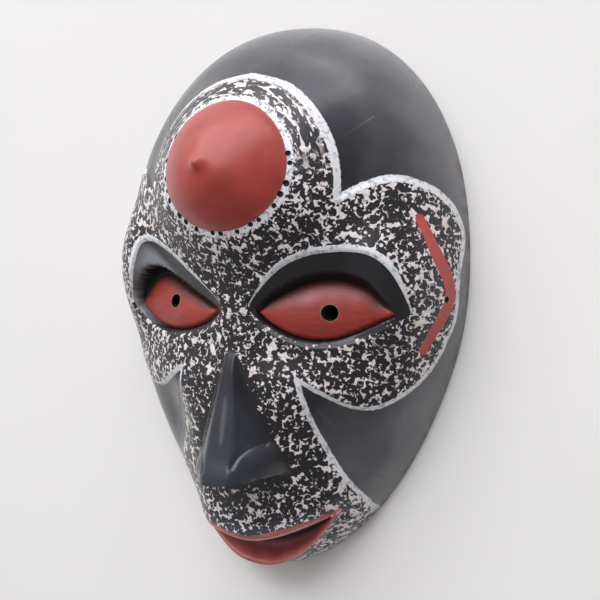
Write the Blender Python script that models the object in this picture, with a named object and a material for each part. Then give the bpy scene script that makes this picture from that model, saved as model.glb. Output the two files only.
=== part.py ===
"""Carved and painted wooden face mask: one hollow piece of wood, lying on its flat back rim.

X runs across the face, +Y up to the crown and +Z out of the face. The origin is in the rim's plane,
halfway between the crown and the chin.
"""
import math

import bpy
import numpy as np

# Driving sizes, in metres
HEIGHT = 0.300          # chin to crown, along the rim
WIDTH = 0.206           # across the rim at its widest
BROW_DEPTH = 0.080      # rim plane to the forehead, before its mound
EYE_DEPTH = 0.068       # rim plane to the bridge of the nose
CHIN_DEPTH = 0.056      # rim plane to the lower face, before the muzzle
MOUND_RISE = 0.011      # forehead mound that carries the boss
TEMPLE_RISE = 0.0115    # swell of each temple
CHEEK_SINK = 0.006      # hollow of each cheek
MUZZLE_RISE = 0.020     # muzzle over the lower face, at the upper lip
CHIN_BLOCK = 0.025      # rim plane to the chin, round the mouth
LIP_DEPTH = 0.027       # rim plane to the lower lip
MOUTH_SINK = 0.0085     # open mouth below the lower lip, at its deepest
EYE_BULGE = 0.0046      # middle of each eye over its lids
EYE_LEAN = 0.0012       # half of the rise from an eye's upper lid to its lower lid
EYE_STEP = 0.0015       # step from each lid down to the socket
EYE_BAG = 0.003         # sink of the face below the eyes
NOSE_RISE = 0.0255      # nose over the muzzle, at its tip
WING_RISE = 0.0045      # nostril wings over the nose's flanks
NOTCH_DEPTH = 0.0016    # cut between the nose and each wing
BOSS_RADIUS = 0.0368    # round boss on the forehead, across
BOSS_HEIGHT = 0.020     # boss over the mound
NUB_HEIGHT = 0.003      # small point on the boss
PANEL_RISE = 0.0013     # painted panels over the black ground
WALL = 0.009            # wood between the face and the hollow
RIM_WIDTH = 0.011       # flat rim that the mask lies on
PUPIL_RADIUS = 0.0042   # hole drilled through the right eye, and a smaller one through the left
SMALL_PUPIL_RADIUS = 0.0037

# The carving is laid out on a face of this height and width in layout units, spread over the real ones
LAYOUT_HEIGHT = 300.0
LAYOUT_WIDTH = 206.0
UNIT = HEIGHT / LAYOUT_HEIGHT
UNIT_X = WIDTH / LAYOUT_WIDTH
WAIST = 15.0            # height at which the outline is widest

# Lines of the carving, (across, up) in layout units. Lines with no side serve both sides of the face.
LOBE = [(0, 118), (22.5, 113), (36, 105), (46.3, 94.5), (53, 82.5), (56.4, 69), (57, 54.2)]
TEMPLE = [(57, 54.2), (64, 59.8), (71, 64), (76, 65.6), (86, 63.6), (94.5, 57), (99, 47.5), (101, 36),
          (101.6, 20), (101.2, 2), (99.5, -11), (95.4, -23.5), (87.5, -38.6), (80, -46.3), (72, -51.2),
          (63.5, -52.4), (55.9, -50.4), (46.5, -45), (35.8, -38.9)]
MUZZLE = [(35.8, -38.9), (38.4, -49), (40.2, -60), (42.6, -69.4), (47.2, -81), (52.2, -92), (56.2, -100.7),
          (58.6, -106), (60.5, -118)]
BROW_RIGHT = [(9, -2.7), (13.8, 3.9), (23.1, 13.4), (32.3, 20.3), (41.4, 24.7), (49, 26.9), (60.3, 28.4),
              (70.9, 27.8), (77.9, 24.6), (83.4, 19), (87.2, 11.1), (89.3, 3.9), (90, -0.9)]
BROW_LEFT = [(8.4, -3.2), (12.1, 0.7), (17.5, 4.9), (22.6, 8.9), (29.7, 13.8), (37.5, 19.2), (46.1, 23.6),
             (54.9, 26.8), (62, 27.6), (67.5, 25.4), (70.6, 19), (73.5, 10), (76.3, 1), (78.8, -6)]
UNDER_RIGHT = [(88.5, -3.4), (81.1, -7.3), (72, -12.1), (61.6, -17.1), (52.6, -19.8), (42.6, -20.5),
               (33.7, -19.2), (24.1, -15.8), (16.1, -11.4), (10.4, -6.8)]
UNDER_LEFT = [(76.2, -11.2), (70.8, -15.4), (64.9, -18.8), (56.3, -21.3), (45.1, -22), (33.9, -20.8),
              (21.2, -17.4), (13.5, -12.6), (8.2, -7.6)]
UPPER_LID_RIGHT = [(11.7, -5.6), (18.2, 0.6), (25, 5.4), (32, 9.6), (41.4, 13), (51.3, 14.2), (59.3, 13),
                   (67.9, 9.7), (73.7, 5.1), (79.1, 0.6), (83, -2.3)]
LOWER_LID_RIGHT = [(76.8, -5.2), (71, -8.3), (63, -12.4), (55.4, -15.8), (48.9, -17.6), (40.4, -18.2),
                   (32, -16.9), (24.1, -14), (16.3, -9.8)]
UPPER_LID_LEFT = [(11.2, -6.9), (24.3, -1.4), (35.3, 2.6), (43.7, 6), (52.7, 9), (59.5, 9.6), (66.1, 6.6),
                  (71.8, -0.4), (75.6, -8.3)]
LOWER_LID_LEFT = [(70, -13.4), (61.4, -17.6), (50.9, -19.7), (39.6, -19.2), (29.8, -17.2), (19.6, -13.2)]
WING_NOTCH = [(8.5, -86.5), (10.5, -80.5), (14.5, -76), (19, -74.5)]
PUPIL_RIGHT = (50.2, -3.5)
PUPIL_LEFT = (-45.0, -4.2)

# Profiles. Each knot is a place, in layout units, and the share of the size that it shapes.
EYE_CREST = [(11, 0.922), (30, 0.895), (40, 0.860), (50, 0.800), (62, 0.728), (79, 0.655)]
MUZZLE_FORM = [(-131.5, 1.0), (-121, 0.78), (-110, 0.58), (-100, 0.45), (-90, 0.35), (-60, 0.2), (-45, 0.1),
               (-20, 0.0)]
NOSE_FORM = [(-100, 1.02), (-95, 1.0), (-82, 0.745), (-68, 0.49), (-53, 0.275), (-38, 0.137), (-30, 0.047),
             (-26, 0.0)]

# Half widths of the nose, in layout units, at each height: at its foot on the face and along its ridge
NOSE_HALF = [(-97, 29), (-88, 27.5), (-75, 22), (-60, 14.8), (-45, 9), (-29, 4.5)]
RIDGE_HALF = [(-97, 6.5), (-80, 6), (-50, 4), (-29, 2)]

# The upper lid's share of the fall from the brow to the eye, and where on the way in its edge starts and ends
LID_FALL = 0.35
LID_EDGE = (0.68, 0.92)

# Roundness of the outline at the chin and at the crown, and of the face from its middle to the rim
OUTLINE_POWERS = (1.74, 2.18)
FACE_POWERS = (2.1, 0.52)

# Places of the rounded forms, in layout units
BOSS_UP = 69.2
BOSS_SQUASH = 0.925     # the boss is a little lower than it is wide
MOUND_EDGES = (68.0, 31.0)
NUB_SPREAD = 4.2
FOREHEAD_LEAN = 4.0     # the boss and the arch round it lean to the left as they rise
LEAN_EDGES = (52.0, 104.0)
EYE_MIDDLE = 45.0
EYE_REACH = 34.0
TEMPLE_SPOT = (86.0, 12.0, 32.0, 44.0)
CHEEK_SPOT = (52.0, -68.0, 24.0, 26.0)
WING_SPOT = (20.5, -83.0, 9.5, 10.5)
WING_DROP = 6.5         # left wing below the right one
MOUTH_CORNER_RIGHT = (48.0, -110.0)
MOUTH_CORNER_LEFT = (44.5, -122.0)
LIP_UP = -131.5         # middle of the upper lip
CHIN_UP = -147.6        # middle of the lower lip
LIP_BENDS = (1.7, 2.1)  # how late the upper and the lower lip turn up to the mouth's corners
MOUTH_SWAP = 6.0        # half of the strip in which one mouth corner's place gives way to the other's
NOSE_FOOT = -97.6       # middle of the nose's underside
NOSE_FOOT_RISE = 6.0    # rise of that underside at the wings
NOSE_FOOT_TILT = 3.1    # how much higher the right wing sits, and lower the left one
WING_OUT = 28.0

# Widths of cuts and edges, seen from the front, in layout units
STEEP = 1.5             # steep cut, such as the one under the lip
LIP_FADE = 20.0         # same cut past the mouth's corners
BEVEL = 1.4             # half of the slope at the edge of a painted panel
NOTCH_WIDTH = 1.1

# Heights, or distances from the middle line, between which one form eases into the next, in layout units
OUTLINE_EASE = (-60.0, 80.0)
CHIN_EASE = (-96.0, -122.0)
LOWER_EASE = (-120.0, -30.0)
UPPER_EASE = (-10.0, 60.0)
BAG_TOP = (12.0, -8.0)
BAG_FOOT = (-46.0, -24.0)
BAG_IN = (4.0, 20.0)
BAG_OUT = (84.0, 60.0)
MUZZLE_SIDE = (60.0, 22.0)
LIP_ENDS = (44.0, 60.0)

# Build
GRID = 130              # squares along each side of the hollow's grid, half as many as the front's
TRIANGLES = 9300        # triangles that the thinned mask keeps
BODY_COLOR = (0.012, 0.012, 0.015, 1.0)


# Curves and eases
def ease(start, end, value):
    """Smooth step from 0 at start to 1 at end."""
    share = np.clip((value - start) / (end - start), 0.0, 1.0)
    return share * share * (3.0 - 2.0 * share)


def spot(x, y, place):
    """Round swell, 1 at its middle and 0 at its edge."""
    mid_x, mid_y, reach_x, reach_y = place
    share = ((x - mid_x) / reach_x) ** 2 + ((y - mid_y) / reach_y) ** 2
    return np.clip(1.0 - share, 0.0, 1.0) ** 2


def trace(value, knots):
    """Smooth curve through (place, height) knots, level past both ends."""
    knots = np.array(knots, float)
    slope = np.gradient(knots[:, 1], knots[:, 0])
    slope[0] = slope[-1] = 0.0
    first = np.clip(np.searchsorted(knots[:, 0], value) - 1, 0, len(knots) - 2)
    gap = knots[first + 1, 0] - knots[first, 0]
    t = np.clip((value - knots[first, 0]) / gap, 0.0, 1.0)
    low = (2 * t**3 - 3 * t**2 + 1) * knots[first, 1] + (t**3 - 2 * t**2 + t) * gap * slope[first]
    high = (3 * t**2 - 2 * t**3) * knots[first + 1, 1] + (t**3 - t**2) * gap * slope[first + 1]
    return low + high


def smooth_line(points, steps=4):
    """Rounded line through the points, with the given number of steps between two of them."""
    points = np.array(points, float)
    last = len(points) - 1
    line = []
    for i in range(last):
        a, b, c, d = points[max(i - 1, 0)], points[i], points[i + 1], points[min(i + 2, last)]
        for step in range(steps):
            t = step / steps
            line.append(0.5 * (2 * b + (c - a) * t + (2 * a - 5 * b + 4 * c - d) * t**2
                               + (3 * b - a - 3 * c + d) * t**3))
    line.append(points[last])
    return np.array(line)


def nearest_point(x, y, line):
    """Point of a line nearest to each place, and how far away it is."""
    near_x, near_y = np.zeros(x.shape), np.zeros(x.shape)
    nearest = np.full(x.shape, np.inf)
    for (x0, y0), (x1, y1) in zip(line, line[1:]):
        dx, dy = x1 - x0, y1 - y0
        t = np.clip(((x - x0) * dx + (y - y0) * dy) / (dx * dx + dy * dy + 1e-12), 0.0, 1.0)
        away = np.hypot(x - x0 - t * dx, y - y0 - t * dy)
        nearer = away < nearest
        near_x = np.where(nearer, x0 + t * dx, near_x)
        near_y = np.where(nearer, y0 + t * dy, near_y)
        nearest = np.where(nearer, away, nearest)
    return near_x, near_y, nearest


def inside_distance(x, y, line):
    """Distance to a closed line: positive inside and negative outside."""
    inside = np.zeros(x.shape, bool)
    for (x0, y0), (x1, y1) in zip(line, np.roll(line, -1, axis=0)):
        if y0 != y1:
            inside ^= ((y0 > y) != (y1 > y)) & (x < (x1 - x0) * (y - y0) / (y1 - y0) + x0)
    away = nearest_point(x, y, np.vstack([line, line[:1]]))[2]
    return np.where(inside, away, -away)


# Closed outlines, each run on past the middle of the face where the other side takes over
FACE_PANEL = np.concatenate([[(-60, 118)], smooth_line(LOBE), smooth_line(TEMPLE), [(0, -90), (-60, -90)]])
MUZZLE_PANEL = np.concatenate([[(-60, -20), (0, -20)], smooth_line(MUZZLE), [(66, -160), (-60, -160)]])


def socket_lines(brow, under, upper, lower):
    """Outlines of an eye socket and of the eye in it, and the eye's own upper and lower lid."""
    socket = np.concatenate([smooth_line(brow), smooth_line(under)])
    eye = np.concatenate([smooth_line(upper), smooth_line(lower)])
    return socket, eye, upper, [upper[0]] + lower[::-1] + [upper[-1]]


SOCKETS = {1: socket_lines(BROW_RIGHT, UNDER_RIGHT, UPPER_LID_RIGHT, LOWER_LID_RIGHT),
           -1: socket_lines(BROW_LEFT, UNDER_LEFT, UPPER_LID_LEFT, LOWER_LID_LEFT)}


# Outline and face, x and y in layout units
def gauge(x, y, inset=0.0):
    """How far out a point is: 0 at the waist's middle, 1 on the rim set in by inset metres."""
    half = LAYOUT_WIDTH / 2 - inset / UNIT_X
    above = LAYOUT_HEIGHT / 2 - inset / UNIT - WAIST
    below = LAYOUT_HEIGHT / 2 - inset / UNIT + WAIST
    up = np.where(y > WAIST, (y - WAIST) / above, (WAIST - y) / below)
    chin, crown = OUTLINE_POWERS
    power = chin + (crown - chin) * ease(*OUTLINE_EASE, y)
    return (np.abs(x / half) ** power + np.abs(up) ** power + 1e-12) ** (1 / power)


def mouth_corner(x):
    """Place of the mouth's corner on the side of the face that x is on."""
    side = ease(-MOUTH_SWAP, MOUTH_SWAP, x)
    across = MOUTH_CORNER_LEFT[0] + (MOUTH_CORNER_RIGHT[0] - MOUTH_CORNER_LEFT[0]) * side
    up = MOUTH_CORNER_LEFT[1] + (MOUTH_CORNER_RIGHT[1] - MOUTH_CORNER_LEFT[1]) * side
    return across, up


def lip_line(x):
    """Lower edge of the jutting upper lip."""
    across, up = mouth_corner(x)
    return LIP_UP + (up - LIP_UP) * (np.abs(x) / across) ** LIP_BENDS[0]


def chin_line(x):
    """Outer edge of the lower lip."""
    across, up = mouth_corner(x)
    return CHIN_UP + (up - CHIN_UP) * (np.abs(x) / across) ** LIP_BENDS[1]


def carve_mouth(x, y, z):
    """Chin block, and the open mouth as a dish under the upper lip."""
    side = np.abs(x)
    block = CHIN_BLOCK / UNIT * np.clip(1 - gauge(x, y) ** 14, 0.0, 1.0) ** (1 / 3)
    z = z + np.maximum(block - z, 0.0) * ease(*CHIN_EASE, y)
    across, _ = mouth_corner(x)
    lip, chin = lip_line(x), chin_line(x)
    open_share = 1 - np.clip(side / across, 0.0, 1.0) ** 2
    down = (lip - y) / np.maximum(lip - chin, 0.8)
    sink = MOUTH_SINK * open_share * (1 - 0.94 * ease(0.35, 0.95, down))
    dish = (LIP_DEPTH - sink) / UNIT
    inside = ease(0.0, STEEP, lip - y) * ease(-STEEP, 0.0, y - chin) * ease(across, across - 2 * STEEP, side)
    return z + (dish - z) * inside


def carve_eye(x, y, z, side):
    """One socket, sloping in under the brow, with the lens-shaped eye bulging in it."""
    socket, eye, upper, lower = SOCKETS[side]
    (low_x, low_y), (high_x, high_y) = socket.min(0) - 1, socket.max(0) + 1
    near = (side * x > low_x) & (side * x < high_x) & (y > low_y) & (y < high_y)
    across, up, ground = side * x[near], y[near], z[near]
    in_socket = inside_distance(across, up, socket)
    in_eye = inside_distance(across, up, eye)
    middle = EYE_DEPTH * trace(across, EYE_CREST)
    top, bottom = trace(across, upper), trace(across, lower)
    height = (up - 0.5 * (top + bottom)) / np.maximum(0.5 * (top - bottom), 1.0)
    bow = np.clip(1 - ((across - EYE_MIDDLE) / EYE_REACH) ** 2, 0.0, 1.0)
    lens = (middle - bow * (EYE_BULGE * np.clip(np.abs(height), 0.0, 1.1) ** 2 + EYE_LEAN * height)) / UNIT
    seat = (middle - bow * (EYE_BULGE + EYE_LEAN * np.sign(height)) - EYE_STEP) / UNIT
    way_in = np.clip(in_socket, 0.0, None)
    way_in = way_in / (way_in + np.clip(-in_eye, 0.0, None) + 1e-6)
    fall = LID_FALL * way_in + (1 - LID_FALL) * ease(*LID_EDGE, way_in)
    floor = np.minimum(ground + (seat - ground) * fall, ground)
    surface = floor + (lens - floor) * ease(0.0, STEEP, in_eye)
    z[near] = np.where(np.maximum(in_socket, in_eye) > 0, surface, ground)
    return z


def head(x, y):
    """The face without its nose, boss and panels: what the hollow inside follows."""
    side = np.abs(x)
    depth = CHIN_DEPTH + (EYE_DEPTH - CHIN_DEPTH) * ease(*LOWER_EASE, y)
    depth = depth + (BROW_DEPTH - EYE_DEPTH) * ease(*UPPER_EASE, y)
    fall, roundness = FACE_POWERS
    z = depth / UNIT * np.clip(1 - gauge(x, y) ** fall, 0.0, 1.0) ** roundness
    z = z + MOUND_RISE / UNIT * ease(*MOUND_EDGES, np.hypot(x, (y - BOSS_UP) / BOSS_SQUASH))
    z = z + TEMPLE_RISE / UNIT * spot(side, y, TEMPLE_SPOT)
    bag = ease(*BAG_TOP, y) * ease(*BAG_FOOT, y) * ease(*BAG_IN, side) * ease(*BAG_OUT, side)
    z = z - EYE_BAG / UNIT * bag
    z = z - CHEEK_SINK / UNIT * spot(side, y, CHEEK_SPOT)
    lip = lip_line(np.clip(x, -LIP_ENDS[1], LIP_ENDS[1]))
    lip_edge = STEEP + LIP_FADE * ease(*LIP_ENDS, side)
    muzzle = MUZZLE_RISE / UNIT * trace(y, MUZZLE_FORM)
    z = z + muzzle * ease(*MUZZLE_SIDE, side) * ease(lip - lip_edge, lip, y)
    z = carve_mouth(x, y, z)
    for eye_side in SOCKETS:
        z = carve_eye(x, y, z, eye_side)
    return z


def nose_foot(x):
    """Lower edge of the nose, rising to its wings."""
    share = x / WING_OUT
    return NOSE_FOOT + NOSE_FOOT_RISE * share**2 + NOSE_FOOT_TILT * share


def nose(x, y):
    """Wedge of the nose with its two wings, flat underneath."""
    side = np.abs(x)
    ridge = trace(y, RIDGE_HALF)
    out = np.clip((side - ridge) / (trace(y, NOSE_HALF) - ridge), 0.0, 1.0)
    section = 0.55 * (1 - out) * (1 + out * (1 - out)) + 0.45 * ease(1.0, 0.0, out)
    foot = nose_foot(x)
    wing_y = y + WING_DROP * ease(0.0, -0.5 * WING_OUT, x)
    form = NOSE_RISE * trace(y, NOSE_FORM) * section + WING_RISE * spot(side, wing_y, WING_SPOT)
    cut = NOTCH_DEPTH * np.exp(-(nearest_point(side, wing_y, smooth_line(WING_NOTCH))[2] / NOTCH_WIDTH) ** 2)
    return (form * ease(foot - STEEP, foot, y) - cut) / UNIT


def lean(y):
    """How far the carving of the forehead leans to the left."""
    return FOREHEAD_LEAN * ease(*LEAN_EDGES, y)


def boss(x, y):
    """Low cone with swelling sides, a small step at its foot and a nub on top."""
    radius = BOSS_RADIUS / UNIT
    away = np.hypot((x + lean(y)) * UNIT_X / UNIT, (y - BOSS_UP) / BOSS_SQUASH)
    out = np.clip(away / radius, 0.0, 1.0)
    cone = BOSS_HEIGHT * (1 - out) * (1 + 0.55 * out) + NUB_HEIGHT * np.exp(-(away / NUB_SPREAD) ** 2)
    return cone / UNIT + ease(radius, radius - STEEP, away)


def boss_circle(out, turns):
    """Points of a circle round the boss, in layout units."""
    y = BOSS_UP + BOSS_SQUASH * out * np.sin(turns)
    return np.stack([out * np.cos(turns) * UNIT / UNIT_X - lean(y), y], -1)


def panels(x, y):
    """Raised, painted panels of the face and the muzzle, with their edges eased over."""
    side = np.abs(x + lean(y))
    inside = np.maximum(inside_distance(side, y, FACE_PANEL), inside_distance(side, y, MUZZLE_PANEL))
    right, left = inside_distance(side, y, SOCKETS[1][0]), inside_distance(side, y, SOCKETS[-1][0])
    return PANEL_RISE / UNIT * ease(-BEVEL, BEVEL, inside) * ease(0.0, -STEEP, np.where(x > 0, right, left))


def face(x, y):
    """Height of the carved face over the rim's plane."""
    z = head(x, y) + nose(x, y) + boss(x, y) + panels(x, y)
    return np.where(gauge(x, y) < 1, np.maximum(z, 0.0), 0.0)


# Hollow inside
def smooth_field(heights, times):
    """Heights of a lattice, each averaged with its neighbours."""
    for _ in range(times):
        for axis in (0, 1):
            heights = (np.roll(heights, 1, axis) + 2 * heights + np.roll(heights, -1, axis)) / 4
    return heights


def hollow_field():
    """Heights of the hollow on a square lattice: one wall under the head, smoothed as a gouge leaves it."""
    step = WALL / 4
    across = np.arange(-WIDTH / 2 - 2 * WALL, WIDTH / 2 + 2 * WALL, step)
    up = np.arange(-HEIGHT / 2 - 2 * WALL, HEIGHT / 2 + 2 * WALL, step)
    x, y = np.meshgrid(across, up)
    outer = np.where(gauge(x / UNIT_X, y / UNIT) < 1, head(x / UNIT_X, y / UNIT) * UNIT, 0.0)
    inner = outer - WALL
    for i in range(-4, 5):
        for j in range(-4, 5):
            left = WALL**2 - (i * step) ** 2 - (j * step) ** 2
            if left >= 0:
                inner = np.minimum(inner, np.roll(outer, (j, i), axis=(0, 1)) - math.sqrt(left))
    gouged = np.minimum(inner, smooth_field(inner, 8))
    return across[0], up[0], step, smooth_field(gouged, 3)


def hollow(x, y, field):
    """Height of the hollow, in layout units, falling to the rim's plane at the rim's inner edge."""
    first_x, first_y, step, heights = field
    column = (x * UNIT_X - first_x) / step
    row = (y * UNIT - first_y) / step
    i = np.clip(column.astype(int), 0, heights.shape[1] - 2)
    j = np.clip(row.astype(int), 0, heights.shape[0] - 2)
    u, v = column - i, row - j
    near = heights[j, i] * (1 - u) + heights[j, i + 1] * u
    far = heights[j + 1, i] * (1 - u) + heights[j + 1, i + 1] * u
    height = near * (1 - v) + far * v
    edge = np.clip(1 - gauge(x, y, RIM_WIDTH) ** 6, 0.0, 1.0) ** 0.5
    return np.maximum(height, 0.0) / UNIT * edge


# Mesh
def rim_point(turn, inset=0.0):
    """Point of the rim's outline, set in by inset metres, in the direction turn."""
    half = LAYOUT_WIDTH / 2 - inset / UNIT_X
    tall = LAYOUT_HEIGHT / 2 - inset / UNIT
    x = half * np.cos(turn)
    y = np.where(np.sin(turn) > 0, tall - WAIST, tall + WAIST) * np.sin(turn)
    scale = np.ones_like(x)
    for _ in range(20):
        scale = scale / gauge(scale * x, WAIST + scale * y, inset)
    return scale * x, scale * y


def disc_grid(count):
    """Square grid folded onto a disc: each point's direction and its share of the way out."""
    steps = np.linspace(-1.0, 1.0, count + 1)
    a, b = np.meshgrid(steps, steps)
    wide = np.abs(a) >= np.abs(b)
    along = np.where(wide, b / np.where(a == 0, 1, a), a / np.where(b == 0, 1, b)) * math.pi / 4
    turn = np.where(wide, np.where(a < 0, math.pi, 0.0) + along, np.where(b < 0, -1, 1) * math.pi / 2 - along)
    out = np.maximum(np.abs(a), np.abs(b))
    return turn, np.sin(out * math.pi / 2)


def carved_edges():
    """Lines at the top and the foot of the steep cuts, which the grid's points settle on."""
    across = np.linspace(-MOUTH_CORNER_LEFT[0], MOUTH_CORNER_RIGHT[0], 61)
    wings = np.linspace(-WING_OUT, WING_OUT, 41)
    turns = np.linspace(0, 2 * math.pi, 73)
    radius = BOSS_RADIUS / UNIT
    edges = [np.stack([across, line(across) + drop], -1)
             for line, drop in ((lip_line, 0.0), (lip_line, -STEEP), (chin_line, 0.0))]
    edges += [np.stack([wings, nose_foot(wings) + drop], -1) for drop in (0.0, -STEEP)]
    edges += [boss_circle(out, turns) for out in (radius, radius - STEEP)]
    for side, (socket, eye, _, _) in SOCKETS.items():
        edges += [np.vstack([line, line[:1]]) * (side, 1) for line in (socket, eye)]
    return edges


def settle(x, y):
    """Moves the points next to a carved edge onto it, so that the edge stays a clean line."""
    for edge in carved_edges():
        near_x, near_y, away = nearest_point(x, y, edge)
        close = away < 0.5 * STEEP
        x, y = np.where(close, near_x, x), np.where(close, near_y, y)
    return x, y


def skin(height, count, inset):
    """Points of one skin as a grid of metres, level with the rim's plane along its edge."""
    turn, out = disc_grid(count)
    rim_x, rim_y = rim_point(turn, inset)
    x, y = out * rim_x, WAIST + out * rim_y
    if not inset:
        x, y = settle(x, y)
    z = height(x, y)
    z[[0, -1], :] = 0.0
    z[:, [0, -1]] = 0.0
    return np.stack([x * UNIT_X, y * UNIT, z * UNIT], -1)


def triangles(points, first, outward):
    """Two triangles for each square, split between the two corners that are nearer in height."""
    rows, columns = points.shape[:2]
    index = first + np.arange(rows * columns).reshape(rows, columns)
    a, b, c, d = index[:-1, :-1], index[:-1, 1:], index[1:, 1:], index[1:, :-1]
    z = points[:, :, 2]
    rising = np.abs(z[:-1, :-1] - z[1:, 1:]) <= np.abs(z[:-1, 1:] - z[1:, :-1])
    one = np.where(rising[..., None], np.stack([a, b, c], -1), np.stack([a, b, d], -1)).reshape(-1, 3)
    two = np.where(rising[..., None], np.stack([a, c, d], -1), np.stack([b, c, d], -1)).reshape(-1, 3)
    faces = np.concatenate([one, two])
    return faces if outward else faces[:, ::-1]


def edge_loop(points, first):
    """Numbers of a grid's edge points, in order round the rim."""
    index = first + np.arange(points.shape[0] * points.shape[1]).reshape(points.shape[:2])
    return np.concatenate([index[0, :-1], index[:-1, -1], index[-1, :0:-1], index[:0:-1, 0]])


def drill(name, place, radius, target):
    """Cylinder, kept as a cutter, that drills a pupil through the eye."""
    bpy.ops.mesh.primitive_cylinder_add(vertices=24, radius=radius, depth=2 * BROW_DEPTH)
    cutter = bpy.context.object
    cutter.name = name
    cutter.location = (place[0] * UNIT_X, place[1] * UNIT, BROW_DEPTH)
    cutter.hide_render = True
    cutter.display_type = "WIRE"
    cut = target.modifiers.new(name, "BOOLEAN")
    cut.operation = "DIFFERENCE"
    cut.solver = "EXACT"
    cut.object = cutter


def painted_wood():
    """Satin near-black paint on wood."""
    material = bpy.data.materials.new("painted_wood")
    material.use_nodes = True
    shader = material.node_tree.nodes["Principled BSDF"]
    shader.inputs["Base Color"].default_value = BODY_COLOR
    shader.inputs["Roughness"].default_value = 0.4
    shader.inputs["Metallic"].default_value = 0.0
    return material


def carved_mask():
    """The mask: carved face, gouged hollow and flat rim, with the pupils drilled through."""
    field = hollow_field()
    outer = skin(face, 2 * GRID, 0.0)
    inner = skin(lambda x, y: hollow(x, y, field), GRID, RIM_WIDTH)
    first_inner = outer.shape[0] * outer.shape[1]
    points = np.concatenate([outer.reshape(-1, 3), inner.reshape(-1, 3)])
    faces = np.concatenate([triangles(outer, 0, True), triangles(inner, first_inner, False)]).tolist()
    outside, inside = edge_loop(outer, 0), edge_loop(inner, first_inner)
    for i in range(len(inside)):
        after = (i + 1) % len(inside)
        wide = [outside[(2 * i + step) % len(outside)] for step in (2, 1, 0)]
        faces.append([int(point) for point in wide + [inside[i], inside[after]]])
    data = bpy.data.meshes.new("carved_mask")
    data.from_pydata(points.tolist(), [], faces)
    data.shade_smooth()
    mask = bpy.data.objects.new("carved_mask", data)
    bpy.context.collection.objects.link(mask)
    mask.data.materials.append(painted_wood())
    thin = mask.modifiers.new("thin", "DECIMATE")
    thin.ratio = TRIANGLES / (10 * GRID * GRID)
    drill("pupil_right", PUPIL_RIGHT, PUPIL_RADIUS, mask)
    drill("pupil_left", PUPIL_LEFT, SMALL_PUPIL_RADIUS, mask)
    return mask


for item in list(bpy.data.objects):
    bpy.data.objects.remove(item, do_unlink=True)
carved_mask()
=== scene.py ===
"""Looks of the carved and painted wooden face mask, lying on its back rim on a pale floor.

The carving is the solid's, worked out again on a grid of about 1 mm, with the fine relief added.
Each point of it then gets its distances to the painted areas' edges, which one material paints by.
X runs across the face, +Y up to the crown and +Z out of the face.
"""
import math

import bpy
import numpy as np
from mathutils import Matrix, Vector


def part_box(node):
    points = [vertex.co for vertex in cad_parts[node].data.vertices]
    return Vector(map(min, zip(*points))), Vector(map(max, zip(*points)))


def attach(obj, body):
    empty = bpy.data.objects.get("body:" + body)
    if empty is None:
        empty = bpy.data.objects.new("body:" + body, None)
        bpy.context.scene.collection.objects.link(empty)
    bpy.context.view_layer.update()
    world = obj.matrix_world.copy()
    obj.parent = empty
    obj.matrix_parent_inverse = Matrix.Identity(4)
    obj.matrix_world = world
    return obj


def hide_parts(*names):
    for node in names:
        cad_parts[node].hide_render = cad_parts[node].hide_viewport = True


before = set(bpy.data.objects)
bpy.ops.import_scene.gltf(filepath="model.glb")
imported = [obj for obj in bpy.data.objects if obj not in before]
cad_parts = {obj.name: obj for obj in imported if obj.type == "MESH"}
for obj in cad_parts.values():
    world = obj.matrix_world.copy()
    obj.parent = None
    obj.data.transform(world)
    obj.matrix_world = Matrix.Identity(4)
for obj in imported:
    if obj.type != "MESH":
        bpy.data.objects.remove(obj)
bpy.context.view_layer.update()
low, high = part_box("carved_mask")

# Driving sizes, in metres
HEIGHT = high.y - low.y
WIDTH = high.x - low.x
BROW_DEPTH = 0.080      # rim plane to the forehead, before its mound
EYE_DEPTH = 0.068       # rim plane to the bridge of the nose
CHIN_DEPTH = 0.056      # rim plane to the lower face, before the muzzle
MOUND_RISE = 0.011      # forehead mound that carries the boss
TEMPLE_RISE = 0.0115    # swell of each temple
CHEEK_SINK = 0.006      # hollow of each cheek
MUZZLE_RISE = 0.020     # muzzle over the lower face, at the upper lip
CHIN_BLOCK = 0.025      # rim plane to the chin, round the mouth
LIP_DEPTH = 0.027       # rim plane to the lower lip
MOUTH_SINK = 0.0085     # open mouth below the lower lip, at its deepest
EYE_BULGE = 0.0046      # middle of each eye over its lids
EYE_LEAN = 0.0012       # half of the rise from an eye's upper lid to its lower lid
EYE_STEP = 0.0015       # step from each lid down to the socket
EYE_BAG = 0.003         # sink of the face below the eyes
NOSE_RISE = 0.0255      # nose over the muzzle, at its tip
WING_RISE = 0.0045      # nostril wings over the nose's flanks
NOTCH_DEPTH = 0.0016    # cut between the nose and each wing
BOSS_RADIUS = 0.0368    # round boss on the forehead, across
BOSS_HEIGHT = 0.020     # boss over the mound
NUB_HEIGHT = 0.003      # small point on the boss
PANEL_RISE = 0.0013     # painted panels over the black ground
WALL = 0.009            # wood between the face and the hollow
RIM_WIDTH = 0.011       # flat rim that the mask lies on
PUPIL_RADIUS = 0.0042   # hole drilled through the right eye, and a smaller one through the left
SMALL_PUPIL_RADIUS = 0.0037

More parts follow.
